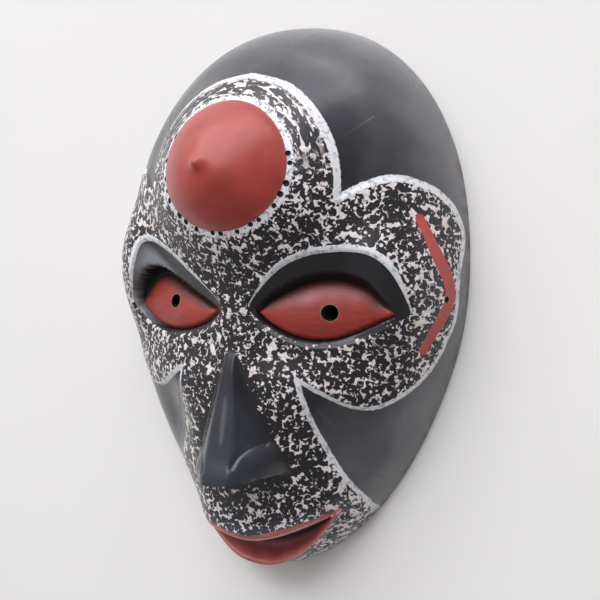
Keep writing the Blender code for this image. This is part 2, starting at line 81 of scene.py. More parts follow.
# Fine relief, in metres where a line says nothing else
LIP_BAND = 0.0048       # red band on the rounded edge of the upper lip
CURL_DEPTH = 0.0030     # how far that edge is rounded over
LIP_SHARE = 0.35        # how fast both shrink towards the mouth's corners: the lower, the later
CHEVRON_DEPTH = 0.0006  # groove that each red chevron lies in
MARK_DEPTH = 0.00010    # knife and rasp facets
GOUGE_RIDGE = 0.0007    # ridges between gouge strokes in the hollow
DOT_WIDTH = 0.0034      # punched dots round the boss
DOT_DEPTH = 0.0014
DOT_SIZES = (0.75, 1.15)  # smallest and largest dot, as a share
DOT_GAP = 1.2           # from the boss to the dots, in layout units
DOT_ARC = (155.0, 385.0)  # ends of the arc that they follow, in degrees
DOTS = 19
PUNCH_INPUTS = {"Dot width": DOT_WIDTH, "Dot depth": DOT_DEPTH, "Seed": 4}
CHEVRON_HOLE = (100.4, 6.2)  # the dot on each chevron, in layout units

# Widths of painted lines, in metres
PANEL_LINE = 0.0046
BROW_LINE = 0.0040
CHEVRON_BAND = 0.0084

# Width of a stroke at its ends, as a share, and where on its run it gets its full width and loses it
BROW_TAPER = (0.25, 0.3, 0.72)
CHEVRON_TAPER = (0.74, 0.35, 0.7)

# Width of the outlines as a share, and how much it grows between two heights in layout units
LINE_SHARE = 0.72
LINE_CHANGES = [(0.28, (-10, 30)), (0.35, (62, 95))]

# How close the splashes lie, as a share, and how that changes near some edges, in millimetres, and spots
CROWD = 0.76
CROWD_CHANGES = [("panel_in", 0.2, (10, 2)), ("lip_up", 0.24, (9, 3)), ("boss_out", 0.1, (14, 6))]
CROWD_SPOTS = [(0.14, (92, 14, 22, 50)), (-0.08, (20, -75, 40, 40))]

# Painted shade on the lids and the eyes, and a painted highlight along the nose
UNDERCUT_WAY = (0.68, 0.78)  # painted shade on the undercut lid starts between these shares of the way into the eye
UNDERCUT_EYE = (0.6, -0.4)   # and ends between these distances into the eye, in layout units
LID_SHADE = (9.5, 1.5)       # shade on the eye: none so many millimetres in, full so near its edge
NOSE_TOP = (-26, -31)        # top of the painted nose, in layout units
RIDGE_HIGHLIGHT_TOP = (-56, -42)        # top of the painted highlight strip along its ridge
RIDGE_HIGHLIGHT_FOOT = (26, 12)         # foot of that strip, over the nose's underside
RIDGE_HIGHLIGHT_HALF = 2.4              # half width of that strip, in millimetres
RIDGE_HIGHLIGHT_OFF = 0.6               # how far it lies to the right

# Names of the areas that the mesh carries for the paint
AREAS = ("panel_in", "line_in", "socket_in", "eye_in", "brow_in", "undercut", "lid_shade", "boss_out",
         "ring_along", "nose_in", "ridge_highlight_in", "mouth_in", "mouth_down", "lip_up", "lip_band", "chevron_in",
         "pupil_out", "crowd")

# Camera: angles in degrees, distances in metres, and pixels of the 600-pixel image
AROUND = 31.5           # round from the front, to the right
ABOVE = 3.2             # up from there
ROLL = 2.9              # about its own axis
CAMERA_DISTANCE = 0.740
MIDDLE = Vector((0.0, 0.0, 0.04))  # what the camera and the lights are turned to
IMAGE_SIDE = 600
FOCAL_PIXELS = 1370.5
SHIFT_PIXELS = (38.7, -1.6)

# The carving is laid out on a face of this height and width in layout units, spread over the real ones
LAYOUT_HEIGHT = 300.0
LAYOUT_WIDTH = 206.0
UNIT = HEIGHT / LAYOUT_HEIGHT
UNIT_X = WIDTH / LAYOUT_WIDTH
WAIST = 15.0            # height at which the outline is widest

# Lines of the carving, (across, up) in layout units. Lines with no side serve both sides of the face.
LOBE = [(0, 118), (22.5, 113), (36, 105), (46.3, 94.5), (53, 82.5), (56.4, 69), (57, 54.2)]
TEMPLE = [(57, 54.2), (64, 59.8), (71, 64), (77, 66.2), (83.5, 66.2), (89.6, 63.5), (93.3, 60.7),
          (96.5, 56.2), (98.8, 50.7), (100.6, 43.7), (101.6, 37.2), (102.2, 28.7), (102.4, 20), (102.4, 12),
          (102.2, 4), (101.7, -2), (100.8, -7.5), (99.1, -13.8), (96.3, -22.3), (92.1, -31.5),
          (86.8, -39.6), (80, -46.3), (72, -51.2), (63.5, -52.4), (55.9, -50.4), (46.5, -45),
          (35.8, -38.9)]
MUZZLE = [(35.8, -38.9), (38.4, -49), (40.2, -60), (42.6, -69.4), (47.2, -81), (52.2, -92), (56.2, -100.7),
          (58.6, -106), (60.5, -118)]
BROW_RIGHT = [(9, -2.7), (13.8, 3.9), (23.1, 13.4), (32.3, 20.3), (41.4, 24.7), (49, 26.9), (60.3, 28.4),
              (70.9, 27.8), (77.9, 24.6), (83.4, 19), (87.2, 11.1), (89.3, 3.9), (90, -0.9)]
BROW_LEFT = [(8.4, -3.2), (12.1, 0.7), (17.5, 4.9), (22.6, 8.9), (29.7, 13.8), (37.5, 19.2), (46.1, 23.6),
             (54.9, 26.8), (62, 27.6), (67.5, 25.4), (70.6, 19), (73.5, 10), (76.3, 1), (78.8, -6)]
UNDER_RIGHT = [(88.5, -3.4), (81.1, -7.3), (72, -12.1), (61.6, -17.1), (52.6, -19.8), (42.6, -20.5),
               (33.7, -19.2), (24.1, -15.8), (16.1, -11.4), (10.4, -6.8)]
UNDER_LEFT = [(76.2, -11.2), (70.8, -15.4), (64.9, -18.8), (56.3, -21.3), (45.1, -22), (33.9, -20.8),
              (21.2, -17.4), (13.5, -12.6), (8.2, -7.6)]
UPPER_LID_RIGHT = [(11.7, -5.6), (18.2, 0.6), (25, 5.4), (32, 9.6), (41.4, 13), (51.3, 14.2), (59.3, 13),
                   (67.9, 9.7), (73.7, 5.1), (79.1, 0.6), (83, -2.3)]
LOWER_LID_RIGHT = [(76.8, -5.2), (71, -8.3), (63, -12.4), (55.4, -15.8), (48.9, -17.6), (40.4, -18.2),
                   (32, -16.9), (24.1, -14), (16.3, -9.8)]
UPPER_LID_LEFT = [(11.2, -6.9), (24.3, -1.4), (35.3, 2.6), (43.7, 6), (52.7, 9), (59.5, 9.6), (66.1, 6.6),
                  (71.8, -0.4), (75.6, -8.3)]
LOWER_LID_LEFT = [(70, -13.4), (61.4, -17.6), (50.9, -19.7), (39.6, -19.2), (29.8, -17.2), (19.6, -13.2)]
WING_NOTCH = [(8.5, -86.5), (10.5, -80.5), (14.5, -76), (19, -74.5)]
PUPIL_RIGHT = (50.2, -3.5)
PUPIL_LEFT = (-45.0, -4.2)

# Profiles. Each knot is a place, in layout units, and the share of the size that it shapes.
EYE_CREST = [(11, 0.922), (30, 0.895), (40, 0.860), (50, 0.800), (62, 0.728), (79, 0.655)]
MUZZLE_FORM = [(-131.5, 1.0), (-121, 0.78), (-110, 0.58), (-100, 0.45), (-90, 0.35), (-60, 0.2), (-45, 0.1),
               (-20, 0.0)]
NOSE_FORM = [(-100, 1.02), (-95, 1.0), (-82, 0.745), (-68, 0.49), (-53, 0.275), (-38, 0.137), (-30, 0.047),
             (-26, 0.0)]

# Half widths of the nose, in layout units, at each height: at its foot on the face and along its ridge
NOSE_HALF = [(-97, 29), (-88, 27.5), (-75, 22), (-60, 14.8), (-45, 9), (-29, 4.5)]
RIDGE_HALF = [(-97, 6.5), (-80, 6), (-50, 4), (-29, 2)]

# The upper lid's share of the fall from the brow to the eye, and where on the way in its edge lies
LID_FALL = 0.35
LID_EDGE = (0.68, 0.92)
NICKED_WAY = (0.5, 0.68, 0.95, 1.0)  # the lid's nicks start, are full, start to fade and end there

# Roundness of the outline at the chin and at the crown, and of the face from its middle to the rim
OUTLINE_POWERS = (1.74, 2.18)
FACE_POWERS = (2.1, 0.52)

# Places of the rounded forms, in layout units
BOSS_UP = 69.2
BOSS_SQUASH = 0.925     # the boss is a little lower than it is wide
MOUND_EDGES = (68.0, 31.0)
NUB_SPREAD = 4.2
FOREHEAD_LEAN = 4.0     # the boss and the arch round it lean to the left as they rise
LEAN_EDGES = (52.0, 104.0)
EYE_MIDDLE = 45.0
EYE_REACH = 34.0
TEMPLE_SPOT = (86.0, 12.0, 32.0, 44.0)
CHEEK_SPOT = (52.0, -68.0, 24.0, 26.0)
WING_SPOT = (20.5, -83.0, 9.5, 10.5)
WING_DROP = 6.5         # left wing below the right one
MOUTH_CORNER_RIGHT = (48.0, -110.0)
MOUTH_CORNER_LEFT = (44.5, -122.0)
LIP_UP = -131.5         # middle of the upper lip
CHIN_UP = -147.6        # middle of the lower lip
LIP_BENDS = (1.7, 2.1)  # how late the upper and the lower lip turn up to the mouth's corners
MOUTH_SWAP = 6.0        # half of the strip in which one mouth corner's place gives way to the other's
MOUTH_LEAST = 0.8       # least height of the open mouth
MOUTH_SHORT_LEFT = 8.5  # the painted mouth ends so far before its left corner
LIP_DROP_LEFT = 0.0045  # the lower lip's left end lies deeper, in metres, growing between these places
LIP_DROP_EASE = (-12.0, -36.0)
NOSE_FOOT = -97.6       # middle of the nose's underside
NOSE_FOOT_RISE = 6.0    # rise of that underside at the wings
NOSE_FOOT_TILT = 3.1    # how much higher the right wing sits, and lower the left one
WING_OUT = 28.0

# Widths of cuts and edges, seen from the front, in layout units
STEEP = 1.5             # steep cut, such as the one under the lip
LIP_FADE = 20.0         # same cut past the mouth's corners
BEVEL = 1.4             # half of the slope at the edge of a painted panel
NOTCH_WIDTH = 1.1

# Heights, or distances from the middle line, between which one form eases into the next, in layout units
OUTLINE_EASE = (-60.0, 80.0)
CHIN_EASE = (-96.0, -122.0)
LOWER_EASE = (-120.0, -30.0)
UPPER_EASE = (-10.0, 60.0)
BAG_TOP = (12.0, -8.0)
BAG_FOOT = (-46.0, -24.0)
BAG_IN = (4.0, 20.0)
BAG_OUT = (84.0, 60.0)
MUZZLE_SIDE = (60.0, 22.0)
LIP_ENDS = (44.0, 60.0)

# Shares and roundness of some forms
DISH_RISE = 0.94        # how far the open mouth's floor comes up to the lower lip
DISH_EASE = (0.35, 0.95)  # and between which shares of the way down
NOSE_ROUND = 0.45       # round share of the nose's section
BOSS_SWELL = 0.55       # swell of the boss's sides
CHEVRON_FLAT = 0.55     # flat share of the chevron's groove
CHIN_POWERS = (14, 1 / 3)  # roundness of the chin block's edge
HOLLOW_POWERS = (6, 0.5)  # roundness of the hollow's edge

# Chevron on each temple, and the marks of the tools, in layout units
CHEVRON = [(89.8, 46.5), (92.4, 41.1), (95.5, 33.5), (98.2, 25.9), (100.2, 19.2), (101.2, 13), (101.3, 7.5),
           (100.4, 2), (98.9, -3.4), (96.4, -9.8), (93.5, -16.5), (92, -20)]
CHEVRON_PLAN = 2.2      # half width of its groove
WORN_ARCH = (-68.0, 59.0, 16.0, 12.0)  # where the white outline is worn thin
NICK_PITCH = 3.4        # knife nicks along the edge of each upper lid
LID_NICKS = {1: 0.03, -1: 0.14}  # their reach on the right and on the left, as a share of the way in
LID_CUT_LEFT = [(12, -6), (20, -1), (26, 2.8), (32.4, 6.2), (40.5, 9.8), (48.5, 12.8), (58.2, 14.4),
                (66.5, 13.2), (71.6, 8.2), (75.6, 0.2), (77, -9)]
LID_CUT_NICKS = 1.5     # how far the nicks reach past that edge of the left lid
LID_CUT_SLOPE = 0.2     # share of the fall in each unit past it
GOUGE_WIDTH = 13.0
GOUGE_LENGTH = 38.0

# Grid of the fine surface
COLUMNS = 288           # squares across the face
ROWS = 288              # squares up the face
BACK_SHARE = 3          # the hollow's squares are so many times as wide
RIM_CROWD = (0.25, 4.8)  # how much closer the squares lie at the rim
SETTLE_REACH = 0.35     # points this share of a steep cut's width from its edge move onto it
WALL_STEPS = 4          # the hollow is worked out on a lattice with so many steps in one wall
SMOOTHINGS = (8, 3)     # and is averaged so many times, before and after it is gouged


# Curves and eases
def ease(start, end, value):
    """Smooth step from 0 at start to 1 at end."""
    share = np.clip((value - start) / (end - start), 0.0, 1.0)
    return share * share * (3.0 - 2.0 * share)


def spot(x, y, place):
    """Round swell, 1 at its middle and 0 at its edge."""
    mid_x, mid_y, reach_x, reach_y = place
    share = ((x - mid_x) / reach_x) ** 2 + ((y - mid_y) / reach_y) ** 2
    return np.clip(1.0 - share, 0.0, 1.0) ** 2


def trace(value, knots):
    """Smooth curve through (place, height) knots, level past both ends."""
    knots = np.array(knots, float)
    slope = np.gradient(knots[:, 1], knots[:, 0])
    slope[0] = slope[-1] = 0.0
    first = np.clip(np.searchsorted(knots[:, 0], value) - 1, 0, len(knots) - 2)
    gap = knots[first + 1, 0] - knots[first, 0]
    t = np.clip((value - knots[first, 0]) / gap, 0.0, 1.0)
    low = (2 * t**3 - 3 * t**2 + 1) * knots[first, 1] + (t**3 - 2 * t**2 + t) * gap * slope[first]
    high = (3 * t**2 - 2 * t**3) * knots[first + 1, 1] + (t**3 - t**2) * gap * slope[first + 1]
    return low + high


def smooth_line(points, steps=4):
    """Rounded line through the points, with the given number of steps between two of them."""
    points = np.array(points, float)
    last = len(points) - 1
    line = []
    for i in range(last):
        a, b, c, d = points[max(i - 1, 0)], points[i], points[i + 1], points[min(i + 2, last)]
        for step in range(steps):
            t = step / steps
            line.append(0.5 * (2 * b + (c - a) * t + (2 * a - 5 * b + 4 * c - d) * t**2
                               + (3 * b - a - 3 * c + d) * t**3))
    line.append(points[last])
    return np.array(line)


def nearest_point(x, y, line):
    """Point of a line nearest to each place, and how far away it is."""
    near_x, near_y = np.zeros(x.shape), np.zeros(x.shape)
    nearest = np.full(x.shape, np.inf)
    for (x0, y0), (x1, y1) in zip(line, line[1:]):
        dx, dy = x1 - x0, y1 - y0
        t = np.clip(((x - x0) * dx + (y - y0) * dy) / (dx * dx + dy * dy + 1e-12), 0.0, 1.0)
        away = np.hypot(x - x0 - t * dx, y - y0 - t * dy)
        nearer = away < nearest
        near_x = np.where(nearer, x0 + t * dx, near_x)
        near_y = np.where(nearer, y0 + t * dy, near_y)
        nearest = np.where(nearer, away, nearest)
    return near_x, near_y, nearest


def inside_distance(x, y, line):
    """Distance to a closed line: positive inside and negative outside."""
    inside = np.zeros(x.shape, bool)
    for (x0, y0), (x1, y1) in zip(line, np.roll(line, -1, axis=0)):
        if y0 != y1:
            inside ^= ((y0 > y) != (y1 > y)) & (x < (x1 - x0) * (y - y0) / (y1 - y0) + x0)
    away = nearest_point(x, y, np.vstack([line, line[:1]]))[2]
    return np.where(inside, away, -away)


# Closed outlines, each run on past the middle of the face where the other side takes over
FACE_PANEL = np.concatenate([[(-60, 118)], smooth_line(LOBE), smooth_line(TEMPLE), [(0, -90), (-60, -90)]])
MUZZLE_PANEL = np.concatenate([[(-60, -20), (0, -20)], smooth_line(MUZZLE), [(66, -160), (-60, -160)]])


def socket_lines(brow, under, upper, lower):
    """Outlines of an eye socket and of the eye in it, and the eye's own upper and lower lid."""
    socket = np.concatenate([smooth_line(brow), smooth_line(under)])
    eye = np.concatenate([smooth_line(upper), smooth_line(lower)])
    return socket, eye, upper, [upper[0]] + lower[::-1] + [upper[-1]]


SOCKETS = {1: socket_lines(BROW_RIGHT, UNDER_RIGHT, UPPER_LID_RIGHT, LOWER_LID_RIGHT),
           -1: socket_lines(BROW_LEFT, UNDER_LEFT, UPPER_LID_LEFT, LOWER_LID_LEFT)}


def in_panels(x, y):
    """Distance into the raised panels: positive inside and negative outside."""
    return np.maximum(inside_distance(x, y, FACE_PANEL), inside_distance(x, y, MUZZLE_PANEL))


# Outline and face, x and y in layout units
def gauge(x, y, inset=0.0):
    """How far out a point is: 0 at the waist's middle, 1 on the rim set in by inset metres."""
    half = LAYOUT_WIDTH / 2 - inset / UNIT_X
    above = LAYOUT_HEIGHT / 2 - inset / UNIT - WAIST
    below = LAYOUT_HEIGHT / 2 - inset / UNIT + WAIST
    up = np.where(y > WAIST, (y - WAIST) / above, (WAIST - y) / below)
    chin, crown = OUTLINE_POWERS
    power = chin + (crown - chin) * ease(*OUTLINE_EASE, y)
    return (np.abs(x / half) ** power + np.abs(up) ** power + 1e-12) ** (1 / power)


def mouth_corner(x):
    """Place of the mouth's corner on the side of the face that x is on."""
    side = ease(-MOUTH_SWAP, MOUTH_SWAP, x)
    across = MOUTH_CORNER_LEFT[0] + (MOUTH_CORNER_RIGHT[0] - MOUTH_CORNER_LEFT[0]) * side
    up = MOUTH_CORNER_LEFT[1] + (MOUTH_CORNER_RIGHT[1] - MOUTH_CORNER_LEFT[1]) * side
    return across, up


def lip_line(x):
    """Lower edge of the jutting upper lip."""
    across, up = mouth_corner(x)
    return LIP_UP + (up - LIP_UP) * (np.abs(x) / across) ** LIP_BENDS[0]


def chin_line(x):
    """Outer edge of the lower lip."""
    across, up = mouth_corner(x)
    return CHIN_UP + (up - CHIN_UP) * (np.abs(x) / across) ** LIP_BENDS[1]


def carve_mouth(x, y, z):
    """Chin block, and the open mouth as a dish under the upper lip."""
    side = np.abs(x)
    fall, roundness = CHIN_POWERS
    block = CHIN_BLOCK / UNIT * np.clip(1 - gauge(x, y) ** fall, 0.0, 1.0) ** roundness
    drop = LIP_DROP_LEFT / UNIT * ease(*LIP_DROP_EASE, x)
    z = z + np.maximum(block - drop - z, 0.0) * ease(*CHIN_EASE, y)
    across, _ = mouth_corner(x)
    lip, chin = lip_line(x), chin_line(x)
    open_share = 1 - np.clip(side / across, 0.0, 1.0) ** 2
    down = (lip - y) / np.maximum(lip - chin, MOUTH_LEAST)
    sink = MOUTH_SINK * open_share * (1 - DISH_RISE * ease(*DISH_EASE, down))
    dish = (LIP_DEPTH - sink) / UNIT - drop
    inside = ease(0.0, STEEP, lip - y) * ease(-STEEP, 0.0, y - chin)
    return z + (dish - z) * inside * ease(across, across - 2 * STEEP, side)


def above_middle(across, up, side):
    """1 in the upper half of an eye and its lids, and 0 in the lower half."""
    middle = 0.5 * (trace(across, SOCKETS[side][2]) + trace(across, SOCKETS[side][3]))
    return ease(0.0, 3.0, up - middle)


def way_into_eye(across, up, side):
    """Distances into a socket and its eye, and the way between them, with the knife's nicks on the lid."""
    in_socket = inside_distance(across, up, SOCKETS[side][0])
    in_eye = inside_distance(across, up, SOCKETS[side][1])
    way_in = np.clip(in_socket, 0.0, None)
    way_in = way_in / (way_in + np.clip(-in_eye, 0.0, None) + 1e-6)
    nicks = np.abs((across / NICK_PITCH) % 1.0 - 0.5) - 0.25
    start, full, fade, end = NICKED_WAY
    way_in = way_in + LID_NICKS[side] * nicks * ease(start, full, way_in) * ease(end, fade, way_in)
    if side < 0:
        past = trace(across, LID_CUT_LEFT) + LID_CUT_NICKS * nicks - up
        cut = np.clip(LID_EDGE[0] + LID_CUT_SLOPE * past, 0.0, 1.0) * above_middle(across, up, side)
        way_in = np.where(in_socket > 0, np.maximum(way_in, cut), way_in)
    return in_socket, in_eye, way_in


def carve_eye(x, y, z, side):
    """One socket, sloping in under the brow, with the lens-shaped eye bulging in it."""
    socket, _, upper, lower = SOCKETS[side]
    (low_x, low_y), (high_x, high_y) = socket.min(0) - 1, socket.max(0) + 1
    near = (side * x > low_x) & (side * x < high_x) & (y > low_y) & (y < high_y)
    across, up, ground = side * x[near], y[near], z[near]
    in_socket, in_eye, way_in = way_into_eye(across, up, side)
    middle = EYE_DEPTH * trace(across, EYE_CREST)
    top, bottom = trace(across, upper), trace(across, lower)
    height = (up - 0.5 * (top + bottom)) / np.maximum(0.5 * (top - bottom), 1.0)
    bow = np.clip(1 - ((across - EYE_MIDDLE) / EYE_REACH) ** 2, 0.0, 1.0)
    lens = (middle - bow * (EYE_BULGE * np.clip(np.abs(height), 0.0, 1.1) ** 2 + EYE_LEAN * height)) / UNIT
    seat = (middle - bow * (EYE_BULGE + EYE_LEAN * np.sign(height)) - EYE_STEP) / UNIT
    fall = LID_FALL * way_in + (1 - LID_FALL) * ease(*LID_EDGE, way_in)
    floor = np.minimum(ground + (seat - ground) * fall, ground)
    surface = floor + (lens - floor) * ease(0.0, STEEP, in_eye)
    z[near] = np.where(np.maximum(in_socket, in_eye) > 0, surface, ground)
    return z


def head(x, y):
    """The face without its nose, boss and panels: what the hollow inside follows."""
    side = np.abs(x)
    depth = CHIN_DEPTH + (EYE_DEPTH - CHIN_DEPTH) * ease(*LOWER_EASE, y)
    depth = depth + (BROW_DEPTH - EYE_DEPTH) * ease(*UPPER_EASE, y)
    fall, roundness = FACE_POWERS
    z = depth / UNIT * np.clip(1 - gauge(x, y) ** fall, 0.0, 1.0) ** roundness
    z = z + MOUND_RISE / UNIT * ease(*MOUND_EDGES, np.hypot(x, (y - BOSS_UP) / BOSS_SQUASH))
    z = z + TEMPLE_RISE / UNIT * spot(side, y, TEMPLE_SPOT)
    bag = ease(*BAG_TOP, y) * ease(*BAG_FOOT, y) * ease(*BAG_IN, side) * ease(*BAG_OUT, side)
    z = z - EYE_BAG / UNIT * bag
    z = z - CHEEK_SINK / UNIT * spot(side, y, CHEEK_SPOT)
    lip = lip_line(np.clip(x, -LIP_ENDS[1], LIP_ENDS[1]))
    lip_edge = STEEP + LIP_FADE * ease(*LIP_ENDS, side)
    muzzle = MUZZLE_RISE / UNIT * trace(y, MUZZLE_FORM)
    z = z + muzzle * ease(*MUZZLE_SIDE, side) * ease(lip - lip_edge, lip, y)
    z = carve_mouth(x, y, z)
    for eye_side in SOCKETS:
        z = carve_eye(x, y, z, eye_side)
    return z


def nose_foot(x):
    """Lower edge of the nose, rising to its wings."""
    share = x / WING_OUT
    return NOSE_FOOT + NOSE_FOOT_RISE * share**2 + NOSE_FOOT_TILT * share


def nose(x, y):
    """Wedge of the nose with its two wings, flat underneath."""
    side = np.abs(x)
    ridge = trace(y, RIDGE_HALF)
    out = np.clip((side - ridge) / (trace(y, NOSE_HALF) - ridge), 0.0, 1.0)
    section = (1 - NOSE_ROUND) * (1 - out) * (1 + out * (1 - out)) + NOSE_ROUND * ease(1.0, 0.0, out)
    foot = nose_foot(x)
    wing_y = y + WING_DROP * ease(0.0, -0.5 * WING_OUT, x)
    form = NOSE_RISE * trace(y, NOSE_FORM) * section + WING_RISE * spot(side, wing_y, WING_SPOT)
    from_notch = nearest_point(side, wing_y, smooth_line(WING_NOTCH))[2]
    cut = NOTCH_DEPTH * np.exp(-(from_notch / NOTCH_WIDTH) ** 2)
    return (form * ease(foot - STEEP, foot, y) - cut) / UNIT


def lean(y):
    """How far the carving of the forehead leans to the left."""
    return FOREHEAD_LEAN * ease(*LEAN_EDGES, y)


def from_boss(x, y):
    """Distance from the boss's middle, in layout units, counted along its oval."""
    return np.hypot((x + lean(y)) * UNIT_X / UNIT, (y - BOSS_UP) / BOSS_SQUASH)


def boss(x, y):
    """Low cone with swelling sides, a small step at its foot and a nub on top."""
    radius = BOSS_RADIUS / UNIT
    away = from_boss(x, y)
    out = np.clip(away / radius, 0.0, 1.0)
    cone = BOSS_HEIGHT * (1 - out) * (1 + BOSS_SWELL * out) + NUB_HEIGHT * np.exp(-(away / NUB_SPREAD) ** 2)
    return cone / UNIT + ease(radius, radius - STEEP, away)


def boss_circle(out, turns):
    """Points of a circle round the boss, in layout units."""
    y = BOSS_UP + BOSS_SQUASH * out * np.sin(turns)
    return np.stack([out * np.cos(turns) * UNIT / UNIT_X - lean(y), y], -1)


def panels(x, y):
    """Raised, painted panels of the face and the muzzle, with their edges eased over."""
    side = np.abs(x + lean(y))
    right, left = (inside_distance(side, y, SOCKETS[eye_side][0]) for eye_side in (1, -1))
    outside = ease(0.0, -STEEP, np.where(x > 0, right, left))
    return PANEL_RISE / UNIT * ease(-BEVEL, BEVEL, in_panels(side, y)) * outside


def lip_curl(x, y):
    """How far the muzzle's lower edge is rounded over into the lip."""
    across, _ = mouth_corner(x)
    share = np.clip(1 - (x / across) ** 2, 0.0, 1.0) ** LIP_SHARE
    lip = lip_line(x)
    above = np.clip((y - lip) / (LIP_BAND / UNIT * np.maximum(share, 0.05)), 0.0, 1.0)
    rounding = 1 - np.sqrt(np.clip(1 - (1 - above) ** 2, 0.0, 1.0))
    return CURL_DEPTH / UNIT * share * rounding * ease(lip - STEEP, lip, y)


def chevron_groove(x, y):
    """Flat-bottomed groove of the red chevron on each temple."""
    away = nearest_point(np.abs(x), y, np.array(CHEVRON, float))[2]
    return CHEVRON_DEPTH / UNIT * ease(CHEVRON_PLAN, CHEVRON_FLAT * CHEVRON_PLAN, away)


def tool_marks(x, y):
    """Shallow, overlapping facets that the knife and the rasp leave all over the wood."""
    one = np.sin(x / 9.0 + 1.7 * np.sin(y / 17.0)) * np.sin(y / 12.0 + 1.3 * np.sin(x / 21.0))
    two = np.sin(x / 5.1 + y / 8.3 + 2.0 * np.sin(y / 11.0))
    return MARK_DEPTH / UNIT * (one + 0.4 * two)


def face(x, y):
    """Height of the carved face over the rim's plane."""
    out = gauge(x, y)
    z = head(x, y) + nose(x, y) + boss(x, y) + panels(x, y)
    z = z - lip_curl(x, y) - chevron_groove(x, y) + tool_marks(x, y) * ease(1.0, 0.94, out)
    return np.where(out < 1, np.maximum(z, 0.0), 0.0)


# Hollow inside
def smooth_field(heights, times):
    """Heights of a lattice, each averaged with its neighbours."""
    for _ in range(times):
        for axis in (0, 1):
            heights = (np.roll(heights, 1, axis) + 2 * heights + np.roll(heights, -1, axis)) / 4
    return heights


def hollow_field():
    """Heights of the hollow on a square lattice: one wall under the head, smoothed as a gouge leaves it."""
    step = WALL / WALL_STEPS
    across = np.arange(-WIDTH / 2 - 2 * WALL, WIDTH / 2 + 2 * WALL, step)
    up = np.arange(-HEIGHT / 2 - 2 * WALL, HEIGHT / 2 + 2 * WALL, step)
    x, y = np.meshgrid(across, up)
    outer = np.where(gauge(x / UNIT_X, y / UNIT) < 1, head(x / UNIT_X, y / UNIT) * UNIT, 0.0)
    inner = outer - WALL
    reach = range(-WALL_STEPS, WALL_STEPS + 1)
    before, after = SMOOTHINGS
    for i in reach:
        for j in reach:
            left = WALL**2 - (i * step) ** 2 - (j * step) ** 2
            if left >= 0:
                inner = np.minimum(inner, np.roll(outer, (j, i), axis=(0, 1)) - math.sqrt(left))
    gouged = np.minimum(inner, smooth_field(inner, before))
    return across[0], up[0], step, smooth_field(gouged, after)


def hollow(x, y, field):
    """Height of the hollow, in layout units, falling to the rim's plane at the rim's inner edge."""
    first_x, first_y, step, heights = field
    column = (x * UNIT_X - first_x) / step
    row = (y * UNIT - first_y) / step
    i = np.clip(column.astype(int), 0, heights.shape[1] - 2)
    j = np.clip(row.astype(int), 0, heights.shape[0] - 2)
    u, v = column - i, row - j
    near = heights[j, i] * (1 - u) + heights[j, i + 1] * u
    far = heights[j + 1, i] * (1 - u) + heights[j + 1, i + 1] * u
    height = near * (1 - v) + far * v
    fall, roundness = HOLLOW_POWERS
    edge = np.clip(1 - gauge(x, y, RIM_WIDTH) ** fall, 0.0, 1.0) ** roundness
    return np.maximum(height - gouge_ridges(x, y), 0.0) / UNIT * edge


def gouge_ridges(x, y):
    """Ridges left between the long strokes of the gouge."""
    across = x / GOUGE_WIDTH + 0.35 * np.sin(y / 43.0)
    row = np.floor(across)
    along = y / GOUGE_LENGTH + 0.37 * row + 0.2 * np.sin(3.1 * row)
    between = np.abs((across % 1.0) - 0.5) * 2
    ends = np.abs((along % 1.0) - 0.5) * 2
    return GOUGE_RIDGE * np.maximum(between**2, ends**6)


# Mesh
def rim_point(turn, inset=0.0):
    """Point of the rim's outline, set in by inset metres, in the direction turn."""
    half = LAYOUT_WIDTH / 2 - inset / UNIT_X
    tall = LAYOUT_HEIGHT / 2 - inset / UNIT
    x = half * np.cos(turn)
    y = np.where(np.sin(turn) > 0, tall - WAIST, tall + WAIST) * np.sin(turn)
    scale = np.ones_like(x)
    for _ in range(20):
        scale = scale / gauge(scale * x, WAIST + scale * y, inset)
    return scale * x, scale * y


def disc_grid(columns, rows):
    """Grid folded onto a disc: each point's direction and its share of the way out, closer at the rim."""
    a, b = np.meshgrid(np.linspace(-1.0, 1.0, columns + 1), np.linspace(-1.0, 1.0, rows + 1))
    wide = np.abs(a) >= np.abs(b)
    along = np.where(wide, b / np.where(a == 0, 1, a), a / np.where(b == 0, 1, b)) * math.pi / 4
    beside, above = np.where(a < 0, math.pi, 0.0), np.where(b < 0, -1, 1) * math.pi / 2
    turn = np.where(wide, beside + along, above - along)
    out = np.maximum(np.abs(a), np.abs(b))
    share, power = RIM_CROWD
    return turn, (1 + share) * out - share * out**power


def carved_edges():
    """Lines at the top and the foot of the steep cuts, which the grid's points settle on."""
    across = np.linspace(-MOUTH_CORNER_LEFT[0], MOUTH_CORNER_RIGHT[0], 61)
    wings = np.linspace(-WING_OUT, WING_OUT, 41)
    turns = np.linspace(0, 2 * math.pi, 73)
    radius = BOSS_RADIUS / UNIT
    edges = [np.stack([across, line(across) + drop], -1)
             for line, drop in ((lip_line, 0.0), (lip_line, -STEEP), (chin_line, 0.0))]
    edges += [np.stack([wings, nose_foot(wings) + drop], -1) for drop in (0.0, -STEEP)]
    edges += [boss_circle(out, turns) for out in (radius, radius - STEEP)]
    for side, (socket, eye, _, _) in SOCKETS.items():
        edges += [np.vstack([line, line[:1]]) * (side, 1) for line in (socket, eye)]
    return edges


def settle(x, y):
    """Moves the points next to a carved edge onto it, so that the edge stays a clean line."""
    for edge in carved_edges():
        near_x, near_y, away = nearest_point(x, y, edge)
        close = away < SETTLE_REACH * STEEP
        x, y = np.where(close, near_x, x), np.where(close, near_y, y)
    return x, y


def skin(height, columns, rows, inset):
    """Points of one skin as a grid of metres, level with the rim's plane along its edge."""
    turn, out = disc_grid(columns, rows)
    rim_x, rim_y = rim_point(turn, inset)
    x, y = out * rim_x, WAIST + out * rim_y
    if not inset:
        x, y = settle(x, y)
    z = height(x, y)
    z[[0, -1], :] = 0.0
    z[:, [0, -1]] = 0.0
    return np.stack([x * UNIT_X, y * UNIT, z * UNIT], -1)


